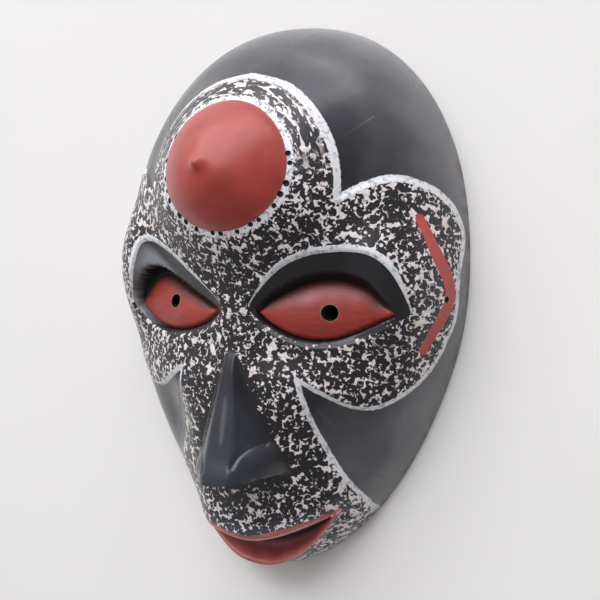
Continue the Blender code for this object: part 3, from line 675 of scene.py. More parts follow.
def triangles(points, first, outward):
    """Two triangles for each square, split between the two corners that are nearer in height."""
    rows, columns = points.shape[:2]
    index = first + np.arange(rows * columns).reshape(rows, columns)
    a, b, c, d = index[:-1, :-1], index[:-1, 1:], index[1:, 1:], index[1:, :-1]
    z = points[:, :, 2]
    rising = np.abs(z[:-1, :-1] - z[1:, 1:]) <= np.abs(z[:-1, 1:] - z[1:, :-1])
    one = np.where(rising[..., None], np.stack([a, b, c], -1), np.stack([a, b, d], -1)).reshape(-1, 3)
    two = np.where(rising[..., None], np.stack([a, c, d], -1), np.stack([b, c, d], -1)).reshape(-1, 3)
    faces = np.concatenate([one, two])
    return faces if outward else faces[:, ::-1]


def edge_loop(points, first):
    """Numbers of a grid's edge points, in order round the rim."""
    index = first + np.arange(points.shape[0] * points.shape[1]).reshape(points.shape[:2])
    return np.concatenate([index[0, :-1], index[:-1, -1], index[-1, :0:-1], index[:0:-1, 0]])


def carved_body(paint, wood):
    """The whole piece of wood as one closed mesh in the solid's box: painted face, bare rim and hollow."""
    field = hollow_field()
    outer = skin(face, COLUMNS, ROWS, 0.0)
    inner = skin(lambda x, y: hollow(x, y, field), COLUMNS // BACK_SHARE, ROWS // BACK_SHARE, RIM_WIDTH)
    first_inner = outer.shape[0] * outer.shape[1]
    front = triangles(outer, 0, True)
    back = triangles(inner, first_inner, False)
    outside, inside = edge_loop(outer, 0), edge_loop(inner, first_inner)
    rim = []
    for i in range(len(inside)):
        after = (i + 1) % len(inside)
        wide = [outside[(BACK_SHARE * i + step) % len(outside)] for step in range(BACK_SHARE, -1, -1)]
        rim.append([int(point) for point in wide + [inside[i], inside[after]]])
    data = bpy.data.meshes.new("mask_carving")
    points = np.concatenate([outer.reshape(-1, 3), inner.reshape(-1, 3)])
    box_low, box_high = (np.array(corner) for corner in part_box("carved_mask"))
    points = box_low + (points - points.min(0)) * (box_high - box_low) / (points.max(0) - points.min(0))
    data.from_pydata(points.tolist(), [], front.tolist() + back.tolist() + rim)
    for finish in (paint, wood):
        data.materials.append(finish)
    bare = np.zeros(len(data.polygons), np.int32)
    bare[len(front):] = 1
    data.polygons.foreach_set("material_index", bare)
    mask = bpy.data.objects.new("mask_carving", data)
    bpy.context.collection.objects.link(mask)
    return mask


def plain_mesh(item):
    """Turns what an object's modifiers make into its own plain mesh, and removes them."""
    bpy.context.view_layer.update()
    made = bpy.data.meshes.new_from_object(item.evaluated_get(bpy.context.evaluated_depsgraph_get()))
    item.modifiers.clear()
    item.data = made


def pupil_drill(name, place, radius, bored):
    """Cylinder that drills one pupil right through the eye."""
    bpy.ops.mesh.primitive_cylinder_add(vertices=48, radius=radius, depth=2 * BROW_DEPTH)
    drill = bpy.context.object
    drill.name = name
    drill.data.transform(Matrix.Translation((place[0] * UNIT_X, place[1] * UNIT, BROW_DEPTH)))
    drill.data.materials.append(bored)
    return drill


def dot_places():
    """Places of the punched dots round the boss and on each chevron, a little uneven as by hand."""
    count = np.arange(DOTS)
    start, end = DOT_ARC
    turn = np.radians(start + (end - start) * (count + 0.22 * np.sin(2.3 * count)) / DOTS)
    out = BOSS_RADIUS / UNIT + DOT_GAP + 0.35 * np.sin(4.1 * count)
    return np.vstack([[CHEVRON_HOLE, (-CHEVRON_HOLE[0], CHEVRON_HOLE[1])], boss_circle(out, turn)])


def punch_tree(ground):
    """Geometry nodes that set a small punch on each point, with a size of its own."""
    tree = bpy.data.node_groups.new("dot_punches", "GeometryNodeTree")
    for way in ("INPUT", "OUTPUT"):
        tree.interface.new_socket("Geometry", in_out=way, socket_type="NodeSocketGeometry")
    for name, value in PUNCH_INPUTS.items():
        kind = "NodeSocketInt" if isinstance(value, int) else "NodeSocketFloat"
        tree.interface.new_socket(name, in_out="INPUT", socket_type=kind).default_value = value
    start = add(tree, "NodeGroupInput")
    radius = add(tree, "ShaderNodeMath", {0: start.outputs["Dot width"], 1: 0.5}, operation="MULTIPLY")
    punch = add(tree, "GeometryNodeMeshIcoSphere", {"Radius": 1.0, "Subdivisions": 2})
    reach = add(tree, "ShaderNodeCombineXYZ", {0: radius, 1: radius, 2: start.outputs["Dot depth"]})
    size = add(tree, "FunctionNodeRandomValue", {
        2: DOT_SIZES[0], 3: DOT_SIZES[1], "Seed": start.outputs["Seed"]}, data_type="FLOAT")
    scale = add(tree, "ShaderNodeVectorMath", {0: reach, "Scale": size.outputs[1]}, operation="SCALE")
    spots = add(tree, "GeometryNodeMeshToPoints", {"Mesh": start.outputs["Geometry"]})
    normal = add(tree, "GeometryNodeInputNamedAttribute", {"Name": "outward"}, data_type="FLOAT_VECTOR")
    turn = add(tree, "FunctionNodeAlignRotationToVector", {"Vector": normal.outputs["Attribute"]}, axis="Z")
    punches = add(tree, "GeometryNodeInstanceOnPoints", {
        "Points": spots, "Instance": punch.outputs["Mesh"],
        "Rotation": turn, "Scale": scale})
    real = add(tree, "GeometryNodeRealizeInstances", {"Geometry": punches})
    coated = add(tree, "GeometryNodeSetMaterial", {"Geometry": real, "Material": ground})
    add(tree, "NodeGroupOutput", {"Geometry": coated})
    return tree


def dot_punches(ground):
    """The punches for all dots as one object, standing on the carved surface."""
    x, y = dot_places().T
    step = 0.5
    z = face(x, y)
    slope_x = (face(x + step, y) - face(x - step, y)) / (2 * step)
    slope_y = (face(x, y + step) - face(x, y - step)) / (2 * step)
    outward = np.stack([-slope_x, -slope_y, np.ones_like(x)], -1)
    outward /= np.linalg.norm(outward, axis=1)[:, None]
    data = bpy.data.meshes.new("dot_punches")
    data.from_pydata(np.stack([x * UNIT_X, y * UNIT, z * UNIT], -1).tolist(), [], [])
    data.attributes.new("outward", "FLOAT_VECTOR", "POINT").data.foreach_set("vector", outward.ravel())
    punches = bpy.data.objects.new("dot_punches", data)
    bpy.context.collection.objects.link(punches)
    modifier = punches.modifiers.new("punches", "NODES")
    tree = punch_tree(ground)
    modifier.node_group = tree
    for socket in tree.interface.items_tree:
        if socket.name in PUNCH_INPUTS:
            modifier[socket.identifier] = PUNCH_INPUTS[socket.name]
    plain_mesh(punches)
    return punches


def cut_away(mask, cutters):
    """Cuts the drills and the punches out of the mask, and takes them away."""
    for cutter in cutters:
        cut = mask.modifiers.new(cutter.name, "BOOLEAN")
        cut.operation = "DIFFERENCE"
        cut.solver = "MANIFOLD"
        cut.material_mode = "TRANSFER"
        cut.object = cutter
    plain_mesh(mask)
    for cutter in cutters:
        bpy.data.objects.remove(cutter, do_unlink=True)


# Painted areas
def on_face(line, side=1):
    """A line of the layout, or its mirror image, laid on the carved face, in millimetres."""
    x, y = np.array(line, float).T
    return np.stack([side * x * UNIT_X, y * UNIT, face(side * x, y) * UNIT], -1) * 1000


def way_to(points, line):
    """Distance in millimetres from each point to a line in space, and the share of its run reached."""
    nearest = np.full(len(points), np.inf)
    run_there = np.zeros(len(points))
    run_before = 0.0
    for start, end in zip(line, line[1:]):
        step = end - start
        length = np.linalg.norm(step) + 1e-9
        share = np.clip((points - start) @ step / length**2, 0.0, 1.0)
        away = np.linalg.norm(points - start - share[:, None] * step, axis=1)
        nearer = away < nearest
        nearest = np.where(nearer, away, nearest)
        run_there = np.where(nearer, run_before + share * length, run_there)
        run_before += length
    return nearest, run_there / run_before


def tapered(share, least, start, end):
    """Width of a brush stroke along its run, as a share: least at both ends, full between start and end."""
    return least + (1 - least) * ease(0.0, start, share) * ease(1.0, end, share)


def panel_areas(points, x, y):
    """Distances into the speckled panels, and into the white line that goes round them."""
    outline = np.concatenate([smooth_line(LOBE), smooth_line(TEMPLE), smooth_line(MUZZLE)])
    away = []
    for half in (1, -1):
        across = outline[:, 0] - half * lean(outline[:, 1])
        away.append(way_to(points, on_face(np.stack([across, outline[:, 1]], -1), half))[0])
    panel_in = np.where(in_panels(np.abs(x + lean(y)), y) > 0, 1, -1) * np.minimum(*away)
    width = PANEL_LINE * 1000 * (LINE_SHARE + sum(change * ease(*ends, y) for change, ends in LINE_CHANGES))
    return {"panel_in": panel_in, "line_in": 0.5 * width - np.abs(panel_in) - 4 * spot(x, y, WORN_ARCH)}


def eye_areas(points, across, up, side):
    """Distances into one socket, its eye and the white brow line, and shares of painted shade on the
    undercut lid and on the eye.
    """
    outlines = dict(zip(("socket_in", "eye_in"), SOCKETS[side]))
    area = {}
    for name, line in outlines.items():
        laid = on_face(np.vstack([line, line[:1]]), side)
        area[name] = np.where(inside_distance(across, up, line) > 0, 1, -1) * way_to(points, laid)[0]
    away, share = way_to(points, on_face(smooth_line(BROW_RIGHT if side > 0 else BROW_LEFT), side))
    area["brow_in"] = BROW_LINE * 1000 * tapered(share, *BROW_TAPER) - away
    _, in_eye, way_in = way_into_eye(across, up, side)
    upper = above_middle(across, up, side)
    area["undercut"] = ease(*UNDERCUT_WAY, way_in) * ease(*UNDERCUT_EYE, in_eye) * upper
    area["lid_shade"] = ease(*LID_SHADE, area["eye_in"]) * upper * (area["eye_in"] > 0)
    return area


def boss_areas(points, x, y):
    """Distance out from the boss, and the way along its foot."""
    radius = BOSS_RADIUS / UNIT
    away, share = way_to(points, on_face(boss_circle(radius, np.linspace(0, 2 * math.pi, 97))))
    return {"boss_out": np.where(from_boss(x, y) > radius, 1, -1) * away,
            "ring_along": share * 2 * math.pi * radius}


def nose_areas(x, y):
    """Distances into the nose and into the painted highlight strip along its ridge."""
    foot = nose_foot(x)
    nose_in = (trace(y, NOSE_HALF) * ease(*NOSE_TOP, y) - np.abs(x)) * UNIT * 1000
    past_ends = ease(*RIDGE_HIGHLIGHT_TOP, y) + ease(*RIDGE_HIGHLIGHT_FOOT, y - foot)
    return {"nose_in": np.where(y < foot - STEEP, (y - foot + STEEP) * UNIT * 1000, nose_in),
            "ridge_highlight_in": RIDGE_HIGHLIGHT_HALF - np.abs(x * UNIT_X * 1000 - RIDGE_HIGHLIGHT_OFF) - 4 * past_ends}


def mouth_areas(points, x, y):
    """Distances into the mouth, up from the lip and into its red band, and the share of the way down."""
    side = np.abs(x)
    across, _ = mouth_corner(x)
    lip, chin = lip_line(x), chin_line(x)
    mouth_in = np.minimum(lip - y, y - chin + 0.4)
    mouth_in = np.minimum(mouth_in, across - side - MOUTH_SHORT_LEFT * ease(0, -30, x))
    lips = np.linspace(-MOUTH_CORNER_LEFT[0], MOUTH_CORNER_RIGHT[0], 81)
    edge = on_face(np.stack([lips, lip_line(lips) + 0.1], -1))
    lip_up = np.sign(y - lip + 0.1) * way_to(points, edge)[0]
    band = LIP_BAND * 1000 * np.clip(1 - (x / across) ** 2, 0.0, 1.0) ** LIP_SHARE - lip_up
    return {"mouth_in": mouth_in * UNIT * 1000, "lip_up": lip_up,
            "lip_band": np.minimum(band, (across - side) * UNIT * 1000),
            "mouth_down": np.clip((lip - y) / np.maximum(lip - chin, MOUTH_LEAST), 0.0, 1.0)}


def chevron_area(points, x):
    """Distance into the red stroke on each temple."""
    right, left = way_to(points, on_face(CHEVRON)), way_to(points, on_face(CHEVRON, -1))
    share = np.where(x > 0, right[1], left[1])
    return CHEVRON_BAND * 500 * tapered(share, *CHEVRON_TAPER) - np.minimum(right[0], left[0])


def crowding(x, y, area):
    """How close the splashes lie, as a share."""
    crowd = CROWD + sum(change * ease(*ends, area[name]) for name, change, ends in CROWD_CHANGES)
    crowd = crowd + sum(change * spot(np.abs(x), y, place) for change, place in CROWD_SPOTS)
    crowd = crowd + 0.12 * ease(-45, -60, x) - 0.6 * ease(-4, -1, area["nose_in"]) * ease(-30, -50, y)
    return np.clip(crowd, 0.0, 1.1)


def painted_areas(mesh):
    """Distances in millimetres from each point of the mesh to the edges that the paint follows."""
    points = np.empty(len(mesh.vertices) * 3, np.float32)
    mesh.vertices.foreach_get("co", points)
    points = points.reshape(-1, 3).astype(float) * 1000
    x, y = points[:, 0] / UNIT_X / 1000, points[:, 1] / UNIT / 1000
    right, left = (eye_areas(points, np.abs(x), y, side) for side in (1, -1))
    area = {name: np.where(x > 0, right[name], left[name]) for name in right}
    area |= panel_areas(points, x, y) | boss_areas(points, x, y)
    area |= nose_areas(x, y) | mouth_areas(points, x, y)
    area["chevron_in"] = chevron_area(points, x)
    from_pupils = [np.hypot(x - place[0], y - place[1]) - radius / UNIT
                   for place, radius in ((PUPIL_RIGHT, PUPIL_RADIUS), (PUPIL_LEFT, SMALL_PUPIL_RADIUS))]
    area["pupil_out"] = np.where(x > 0, *from_pupils) * UNIT * 1000
    area["crowd"] = crowding(x, y, area)
    return area


def keep_areas(mesh):
    """Stores the painted areas on the mesh, one number for each point."""
    for name, values in painted_areas(mesh).items():
        store = mesh.attributes.new(name, "FLOAT", "POINT")
        store.data.foreach_set("value", np.clip(values, -400, 400).astype(np.float32))


# Materials
def colour(code):
    """Linear colour of an sRGB hex value."""
    shares = [int(code[i:i + 2], 16) / 255 for i in (1, 3, 5)]
    return [s / 12.92 if s <= 0.04045 else ((s + 0.055) / 1.055) ** 2.4 for s in shares] + [1.0]


def add(tree, kind, inputs=None, **settings):
    """Adds a node with its settings, and gives each input a value, an output or another node."""
    node = tree.nodes.new(kind)
    for name, value in settings.items():
        setattr(node, name, value)
    for socket, value in (inputs or {}).items():
        if isinstance(value, bpy.types.Node):
            value = value.outputs[0]
        if isinstance(value, bpy.types.NodeSocket):
            tree.links.new(value, node.inputs[socket])
        else:
            node.inputs[socket].default_value = value
    return node


def new_material(name):
    """Empty node material, its tree, and the place of each point in millimetres."""
    material = bpy.data.materials.new(name)
    material.use_nodes = True
    tree = material.node_tree
    tree.nodes.clear()
    spot_now = add(tree, "ShaderNodeTexCoord").outputs["Object"]
    place = add(tree, "ShaderNodeVectorMath", {0: spot_now, "Scale": 1000.0}, operation="SCALE")
    return material, tree, place


def finish_material(tree, coat, bump, wax=0.0):
    """Principled shader and output for one coat, its height in millimetres as bump, with wax over it."""
    dent = add(tree, "ShaderNodeBump", {"Height": coat["height"], "Strength": bump, "Distance": 0.001})
    shader = add(tree, "ShaderNodeBsdfPrincipled", {
        "Base Color": coat["colour"], "Roughness": coat["rough"], "IOR": 1.5, "Normal": dent,
        "Coat Weight": wax, "Coat Roughness": 0.24})
    add(tree, "ShaderNodeOutputMaterial", {"Surface": shader})


def coat_of(tint, rough, height=0.0):
    """One coat: its tint, its roughness and its height in millimetres."""
    return {"colour": colour(tint) if isinstance(tint, str) else tint, "rough": rough, "height": height}


def tinted(tree, pattern, start, end, first, second, most=1.0):
    """Colour that nears the second tint, by most at the most, as a pattern goes from start to end."""
    first, second = (colour(tint) if isinstance(tint, str) else tint for tint in (first, second))
    share = add(tree, "ShaderNodeMapRange", {
        "Value": pattern, "From Min": start, "From Max": end, "To Max": most})
    tint = add(tree, "ShaderNodeMix", {0: share, 6: first, 7: second}, data_type="RGBA")
    return tint.outputs[2]


def coated(tree, under, over, mask, other=1.0):
    """Lays one coat of paint over another where both masks are 1."""
    mask = add(tree, "ShaderNodeMath", {0: mask, 1: other}, operation="MULTIPLY")
    tint = add(tree, "ShaderNodeMix", {0: mask, 6: under["colour"], 7: over["colour"]}, data_type="RGBA")
    rough = add(tree, "ShaderNodeMix", {0: mask, 2: under["rough"], 3: over["rough"]})
    height = add(tree, "ShaderNodeMix", {0: mask, 2: under["height"], 3: over["height"]})
    return coat_of(tint.outputs[2], rough, height)


def hand_edge(tree, place, distance, start, end, wander, grain=3.0):
    """1 past the end of a distance and 0 before its start, with an edge that wanders as a brush does."""
    noise = add(tree, "ShaderNodeTexNoise", {"Vector": place, "Scale": 1 / grain, "Detail": 2.0})
    shift = add(tree, "ShaderNodeMath", {0: noise, 1: 4 * wander, 2: -2 * wander},
                operation="MULTIPLY_ADD")
    total = add(tree, "ShaderNodeMath", {0: distance, 1: shift}, operation="ADD")
    edge = add(tree, "ShaderNodeMapRange", {"Value": total, "From Min": start, "From Max": end},
               interpolation_type="SMOOTHSTEP")
    return edge


def painted_over(tree, place, area, coat, layers):
    """Lays coats over one another in turn, each inside the brushed edge of its area."""
    for name, over, *edge in layers:
        coat = coated(tree, coat, over, hand_edge(tree, place, area[name], *edge))
    return coat


def black_paint(tree, place):
    """Thin satin black, brushed on and rubbed: cloudy, finely scratched, greyer near the rim with dust and
    painted sheen.
    """
    cloud = add(tree, "ShaderNodeTexNoise", {"Vector": place, "Scale": 1 / 24, "Detail": 5.0})
    long_way = add(tree, "ShaderNodeMapping", {"Vector": place, "Scale": (1.0, 0.12, 1.0)})
    hair = add(tree, "ShaderNodeTexNoise", {"Vector": long_way, "Scale": 1 / 1.2, "Detail": 2.0})
    outward = add(tree, "ShaderNodeSeparateXYZ", {0: place}).outputs[2]
    uneven = add(tree, "ShaderNodeMath", {0: cloud, 1: 46.0, 2: outward}, operation="MULTIPLY_ADD")
    black = tinted(tree, cloud, 0.35, 0.65, "#13141B", "#23252F")
    # greyer towards the rim: partly dust, partly a painted sheen standing in for reflection at grazing
    # angles
    dust_and_sheen = tinted(tree, uneven, 77.0, 22.0, black, "#7C7A7D", 0.9)
    rough = add(tree, "ShaderNodeMapRange", {
        "Value": cloud, "From Min": 0.35, "From Max": 0.65, "To Min": 0.24, "To Max": 0.34})
    height = add(tree, "ShaderNodeMath", {0: hair, 1: 0.03}, operation="MULTIPLY")
    return coat_of(dust_and_sheen, rough, height)


def red_paint(tree, place, light, dark, streak):
    """Brick-red satin paint, with more or less of the brush's streaks across it."""
    streak_way = add(tree, "ShaderNodeMapping", {"Vector": place, "Scale": (0.12, 1.0, 0.5)})
    streaks = add(tree, "ShaderNodeTexNoise", {"Vector": streak_way, "Scale": 1 / 1.4, "Detail": 3.0})
    patches = add(tree, "ShaderNodeTexNoise", {"Vector": place, "Scale": 1 / 18, "Detail": 3.0})
    worn = add(tree, "ShaderNodeMix", {0: streak, 2: patches, 3: streaks})
    height = add(tree, "ShaderNodeMath", {0: streaks, 1: 0.1 * streak}, operation="MULTIPLY")
    return coat_of(tinted(tree, worn, 0.36, 0.64, dark, light), 0.42, height)


def white_line_paint(tree, place):
    """Thick white for the outlines, dragged by the brush so that grey shows through in places."""
    drag = add(tree, "ShaderNodeTexNoise", {"Vector": place, "Scale": 1 / 2.6, "Detail": 4.0})
    height = add(tree, "ShaderNodeMath", {0: drag, 1: 0.2, 2: 0.15}, operation="MULTIPLY_ADD")
    return coat_of(tinted(tree, drag, 0.34, 0.48, "#ABABAF", "#E6E6E8"), 0.5, height)


def cream_net(tree, bent, cell, most, crowd):
    """Mask of cream left between rounded black patches: threads, thick where three meet, some broken."""
    patches = add(tree, "ShaderNodeTexVoronoi", {"Vector": bent, "Scale": 1 / cell})
    swell = add(tree, "ShaderNodeTexNoise", {"Vector": bent, "Scale": 0.55 / cell, "Detail": 1.0})
    reach = add(tree, "ShaderNodeMath", {0: swell, 1: 0.6, 2: most - 0.3}, operation="MULTIPLY_ADD")
    reach = add(tree, "ShaderNodeMath", {0: crowd, 1: -0.24, 2: reach}, operation="MULTIPLY_ADD")
    past = add(tree, "ShaderNodeMath", {0: patches.outputs["Distance"], 1: reach}, operation="SUBTRACT")
    edge = add(tree, "ShaderNodeMapRange", {"Value": past, "From Min": 0.0, "From Max": 0.04})
    return edge


def drops(tree, place, cell, most, crowd):
    """Mask of round drops, at most one in each cell, each of its own size."""
    cells = add(tree, "ShaderNodeTexVoronoi", {"Vector": place, "Scale": 1 / cell})
    chance = add(tree, "ShaderNodeSeparateColor", {0: cells.outputs["Color"]})
    size = add(tree, "ShaderNodeMath", {0: chance, 1: crowd}, operation="MULTIPLY")
    radius = add(tree, "ShaderNodeMapRange", {
        "Value": size, "From Min": 0.25, "To Min": 0.0, "To Max": most})
    inside = add(tree, "ShaderNodeMath", {0: radius, 1: cells.outputs["Distance"]}, operation="SUBTRACT")
    edge = add(tree, "ShaderNodeMapRange", {"Value": inside, "From Min": 0.0, "From Max": 0.04})
    return edge


def splashes(tree, place, crowd):
    """Mask of the cream splashes: a broken net, finer in places, and drops, closer where crowd is high."""
    bend = add(tree, "ShaderNodeTexNoise", {"Vector": place, "Scale": 1 / 3.0, "Detail": 1.0})
    bent = add(tree, "ShaderNodeVectorMath", {0: bend.outputs["Color"], 1: (3.4, 3.4, 3.4), 2: place},
               operation="MULTIPLY_ADD")
    mask = cream_net(tree, bent, 3.2, 0.87, crowd)
    for more in (cream_net(tree, bent, 1.9, 0.95, crowd), drops(tree, place, 2.7, 0.55, crowd)):
        mask = add(tree, "ShaderNodeMath", {0: mask, 1: more}, operation="MAXIMUM")
    return mask


def cream_paint(tree, place):
    """Thick cream splashes, a few of them yellowish, standing a little proud of the black."""
    cells = add(tree, "ShaderNodeTexVoronoi", {"Vector": place, "Scale": 1 / 4.5})
    chance = add(tree, "ShaderNodeSeparateColor", {0: cells.outputs["Color"]}).outputs[1]
    patchy = add(tree, "ShaderNodeTexNoise", {"Vector": place, "Scale": 1 / 2.0, "Detail": 2.0})
    cream = tinted(tree, patchy, 0.3, 0.6, "#D3C4C4", "#F4E8E6")
    return coat_of(tinted(tree, chance, 0.988, 0.992, cream, "#DCCDA8"), 0.5, 0.2)


def splashed_coat(tree, place, area, under):
    """Near-black ground with cream splashes on it, bluer and lighter near the upper lip."""
    ground = coat_of(tinted(tree, area["lip_up"], 11.0, 5.0, "#151219", "#3C414C"), 0.42)
    round_way = add(tree, "ShaderNodeCombineXYZ", {0: area["ring_along"], 1: area["boss_out"]})
    drawn_out = add(tree, "ShaderNodeMapping", {"Vector": round_way, "Scale": (0.5, 1.15, 1.0)})
    height = add(tree, "ShaderNodeSeparateXYZ", {0: place}).outputs[1]
    near_ring, upper = (
        add(tree, "ShaderNodeMapRange", {"Value": value, "From Min": start, "From Max": end})
        for value, start, end in ((area["boss_out"], 20.0, 15.0), (height, 66.0, 80.0)))
    turned = add(tree, "ShaderNodeMath", {0: near_ring, 1: upper}, operation="MULTIPLY")
    splash = add(tree, "ShaderNodeMix", {
        0: turned, 2: splashes(tree, place, area["crowd"]),
        3: splashes(tree, drawn_out, area["crowd"])})
    panel = hand_edge(tree, place, area["panel_in"], 0.4, 0.9, 0.2)
    return coated(tree, coated(tree, under, ground, panel), cream_paint(tree, place), panel, splash)


def eye_coats(tree, place, area, under):
    """White brow lines, black sockets with painted grey sheen at the far left, painted shade on and under
    the lids, brushed red eyes.
    """
    across = add(tree, "ShaderNodeSeparateXYZ", {0: place})
    # painted sheen: the socket's black turns light grey towards the far left of the face
    slanted = add(tree, "ShaderNodeMath", {0: area["socket_in"], 1: -2.4, 2: across},
                  operation="MULTIPLY_ADD")
    lid_with_painted_sheen = coat_of(tinted(tree, slanted, -64.0, -80.0, "#15151B", "#96969C"), 0.36)
    brow = hand_edge(tree, place, area["brow_in"], 0.0, 0.4, 0.35, 2.2)
    outside = hand_edge(tree, place, area["socket_in"], 0.25, -0.05, 0.05)
    coat = coated(tree, under, white_line_paint(tree, place), brow, outside)
    coat = painted_over(tree, place, area, coat, [("socket_in", lid_with_painted_sheen, 0.0, 0.3, 0.05)])
    # painted shade: near-black on the steep undercut wall of each upper lid
    coat = coated(tree, coat, coat_of("#1A181B", 0.8), area["undercut"])
    red = red_paint(tree, place, "#AC372C", "#8A2A23", 0.55)
    coat = painted_over(tree, place, area, coat, [("eye_in", red, 0.1, 0.5, 0.1)])
    # painted shade: the top of each eye darkened under its lid
    coat = coated(tree, coat, coat_of("#35120F", 0.8), area["lid_shade"])
    rubbed = coat_of("#8A6458", 0.5)
    return painted_over(tree, place, area, coat, [("pupil_out", rubbed, 0.7, 0.3, 0.2, 1.0)])


def mouth_coats(tree, place, area, under):
    """Dark red lips, painted shade nearly black inside, and a rubbed upper-lip edge with a painted
    highlight.
    """
    red = red_paint(tree, place, "#C8706B", "#A54C48", 0.3)
    coat = painted_over(tree, place, area, under, [("mouth_in", red, -0.1, 0.2, 0.05)])
    # painted shade: nearly black inside the mouth, darkest under the upper lip
    shaded = hand_edge(tree, place, area["mouth_down"], 0.55, 0.1, 0.03)
    inside = hand_edge(tree, place, area["mouth_in"], 0.0, 0.3, 0.05)
    coat = coated(tree, coat, coat_of("#2C0F0E", 0.9), inside, shaded)
    upper = hand_edge(tree, place, area["lip_up"], -1.3, -0.8, 0.1)
    band = hand_edge(tree, place, area["lip_band"], 0.0, 0.3, 0.3)
    band = add(tree, "ShaderNodeMath", {0: band, 1: upper}, operation="MULTIPLY")
    # pale upper-lip edge: rubbed paint, and a painted highlight
    pale = hand_edge(tree, place, area["lip_up"], 1.7, 1.0, 0.2)
    return coated(tree, coated(tree, coat, red, band), coat_of("#CC9E9C", 0.4, 0.1), band, pale)


def painted_wood():
    """Traditional paints on carved hardwood, waxed: black, brick red, white outlines and cream splashes."""
    material, tree, place = new_material("painted_wood")
    area = {name: add(tree, "ShaderNodeAttribute", attribute_name=name).outputs["Fac"] for name in AREAS}
    black = black_paint(tree, place)
    white = white_line_paint(tree, place)
    # greyer middle of the nose: handling wear, and a painted sheen
    handled_and_sheen = coat_of("#2B2E38", 0.28)
    coat = painted_over(tree, place, area, splashed_coat(tree, place, area, black), [
        ("nose_in", black, -0.8, -0.3, 1.2, 5.0), ("nose_in", handled_and_sheen, 1.0, 12.0, 1.5, 9.0)])
    # painted highlight: a pale strip along the nose's ridge
    ridge = hand_edge(tree, place, area["ridge_highlight_in"], -0.2, 2.6, 0.3, 6.0)
    coat = coated(tree, coat, coat_of("#7A7676", 0.3), ridge, 0.42)
    coat = painted_over(tree, place, area, coat, [("line_in", white, 0.0, 0.5, 0.35, 2.4)])
    coat = eye_coats(tree, place, area, coat)
    ring = hand_edge(tree, place, area["boss_out"], 4.1, 3.7, 1.5, 1.7)
    pits = add(tree, "ShaderNodeTexNoise", {"Vector": place, "Scale": 1 / 1.5, "Detail": 1.0})
    kept = add(tree, "ShaderNodeMapRange", {
        "Value": pits, "From Min": 0.36, "From Max": 0.44, "To Min": 0.25})
    coat = coated(tree, coat, white, ring, kept)
    coat = painted_over(tree, place, area, coat, [
        ("boss_out", red_paint(tree, place, "#AE3D33", "#982F25", 0.1), 0.2, -0.1, 0.1),
        ("chevron_in", red_paint(tree, place, "#C44E46", "#AE413B", 0.1), 0.0, 0.4, 0.2)])
    coat = mouth_coats(tree, place, area, coat)
    above_rim = add(tree, "ShaderNodeSeparateXYZ", {0: place}).outputs[2]
    low_down = add(tree, "ShaderNodeMapRange", {
        "Value": above_rim, "From Min": 8.0, "From Max": 0.5, "To Max": 0.7})
    rub = add(tree, "ShaderNodeTexNoise", {"Vector": place, "Scale": 1 / 7, "Detail": 4.0})
    patch = add(tree, "ShaderNodeMapRange", {"Value": rub, "From Min": 0.45, "From Max": 0.6})
    coat = coated(tree, coat, coat_of("#4B3A30", 0.5), low_down, patch)
    finish_material(tree, coat, 0.6, 0.35)
    return material


def bare_wood():
    """Unpainted carved hardwood, darkened by handling: long brown grain and a dull surface."""
    material, tree, place = new_material("bare_wood")
    long_way = add(tree, "ShaderNodeMapping", {"Vector": place, "Scale": (1.0, 0.08, 0.6)})
    rings = add(tree, "ShaderNodeTexNoise", {
        "Vector": long_way, "Scale": 1 / 4.5, "Detail": 5.0, "Distortion": 0.6})
    fibre = add(tree, "ShaderNodeTexNoise", {"Vector": long_way, "Scale": 1 / 0.9, "Detail": 2.0})
    mixed = add(tree, "ShaderNodeMix", {0: 0.35, 2: rings, 3: fibre})
    height = add(tree, "ShaderNodeMath", {0: fibre, 1: 0.12}, operation="MULTIPLY")
    finish_material(tree, coat_of(tinted(tree, mixed, 0.36, 0.64, "#4E3524", "#8B6546"), 0.68, height), 0.5)
    return material


def dark_bore(name, code):
    """Dull, nearly black wood in a drilled or punched hole: paint stain, and painted shade deep in the
    hole.
    """
    material, tree, place = new_material(name)
    stain = add(tree, "ShaderNodeTexNoise", {"Vector": place, "Scale": 1 / 1.5, "Detail": 2.0})
    height = add(tree, "ShaderNodeMath", {0: stain, 1: 0.08}, operation="MULTIPLY")
    finish_material(tree, coat_of(tinted(tree, stain, 0.0, 1.0, "#0E0D0F", code), 0.7, height), 0.5)
    return material


def plaster_floor():
    """Plain pale floor, dull and almost even."""
    material, tree, place = new_material("pale_plaster")
    cloud = add(tree, "ShaderNodeTexNoise", {"Vector": place, "Scale": 1 / 120, "Detail": 2.0})
    finish_material(tree, coat_of(tinted(tree, cloud, 0.0, 1.0, "#EFECE7", "#F4F1ED"), 0.9, cloud), 0.1)
    return material


# Floor, light and camera
def lay_floor():
    """Large plain floor that the rim lies on."""
    bpy.ops.mesh.primitive_plane_add(size=9.0, location=(0.0, 0.0, -0.0001))
    floor = bpy.context.object
    floor.name = "floor"
    floor.data.materials.append(plaster_floor())


def soft_light(name, place, size, power, tint):
    """Square soft light at a place, turned to the mask."""
    lamp = bpy.data.lights.new(name, "AREA")
    lamp.size = size
    lamp.energy = power
    lamp.color = colour(tint)[:3]
    item = bpy.data.objects.new(name, lamp)
    item.location = place
    item.rotation_euler = (MIDDLE - Vector(place)).to_track_quat("-Z", "Y").to_euler()
    bpy.context.collection.objects.link(item)


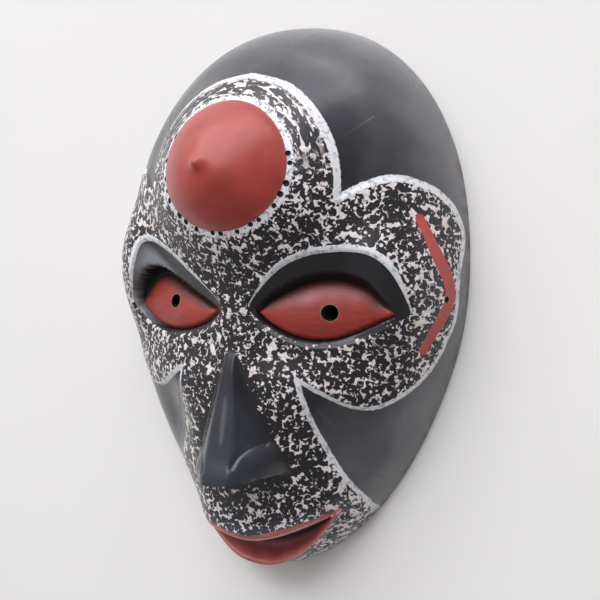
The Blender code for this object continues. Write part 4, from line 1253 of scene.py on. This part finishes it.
def light_room():
    """Pale room, brighter up and to the left, a broad soft light at the crown and a small one in front."""
    world = bpy.data.worlds.new("studio")
    world.use_nodes = True
    tree = world.node_tree
    sky = tree.nodes["Background"]
    sky.inputs["Color"].default_value = colour("#F3F3F5")
    direction = add(tree, "ShaderNodeTexCoord").outputs["Generated"]
    upward = add(tree, "ShaderNodeVectorMath", {0: direction, 1: (-0.6, 0.8, 0.0)}, operation="DOT_PRODUCT")
    strength = add(tree, "ShaderNodeMapRange", {
        "Value": upward.outputs["Value"], "From Min": -0.5, "From Max": 0.9, "To Min": 0.3, "To Max": 0.85})
    tree.links.new(strength.outputs[0], sky.inputs["Strength"])
    bpy.context.scene.world = world
    soft_light("sky_light", (-0.5, 2.2, 1.3), 3.2, 84.0, "#F2F3FA")
    soft_light("front_light", (0.05, 0.85, 1.75), 0.6, 6.0, "#F2F4FF")


def place_camera():
    """Camera as far round and as high as the photograph's, turned a little about its own axis."""
    around, above, roll = math.radians(AROUND), math.radians(ABOVE), math.radians(ROLL)
    back = Vector((math.sin(around) * math.cos(above), math.sin(above), math.cos(around) * math.cos(above)))
    right = Vector((math.cos(around), 0.0, -math.sin(around)))
    up = back.cross(right)
    turned_right = right * math.cos(roll) + up * math.sin(roll)
    turned_up = up * math.cos(roll) - right * math.sin(roll)
    camera = bpy.data.cameras.new("camera")
    camera.lens = camera.sensor_width * FOCAL_PIXELS / IMAGE_SIDE
    camera.shift_x = SHIFT_PIXELS[0] / IMAGE_SIDE
    camera.shift_y = SHIFT_PIXELS[1] / IMAGE_SIDE
    item = bpy.data.objects.new("camera", camera)
    turn = Matrix((turned_right, turned_up, back)).transposed()
    item.matrix_world = Matrix.Translation(MIDDLE + back * CAMERA_DISTANCE) @ turn.to_4x4()
    bpy.context.collection.objects.link(item)
    bpy.context.scene.camera = item


# The mask
bored = dark_bore("stained_shaded_bore", "#241A17")
mask = carved_body(painted_wood(), bare_wood())
cut_away(mask, [
    pupil_drill("pupil_right", PUPIL_RIGHT, PUPIL_RADIUS, bored),
    pupil_drill("pupil_left", PUPIL_LEFT, SMALL_PUPIL_RADIUS, bored),
    dot_punches(dark_bore("punched_ground", "#1D1B1F"))])
mask.data.shade_smooth()
mask.data.set_sharp_from_angle(angle=math.radians(50))
keep_areas(mask.data)
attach(mask, "root")
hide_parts("carved_mask")

lay_floor()
light_room()
place_camera()
bpy.context.scene.view_settings.view_transform = "Standard"
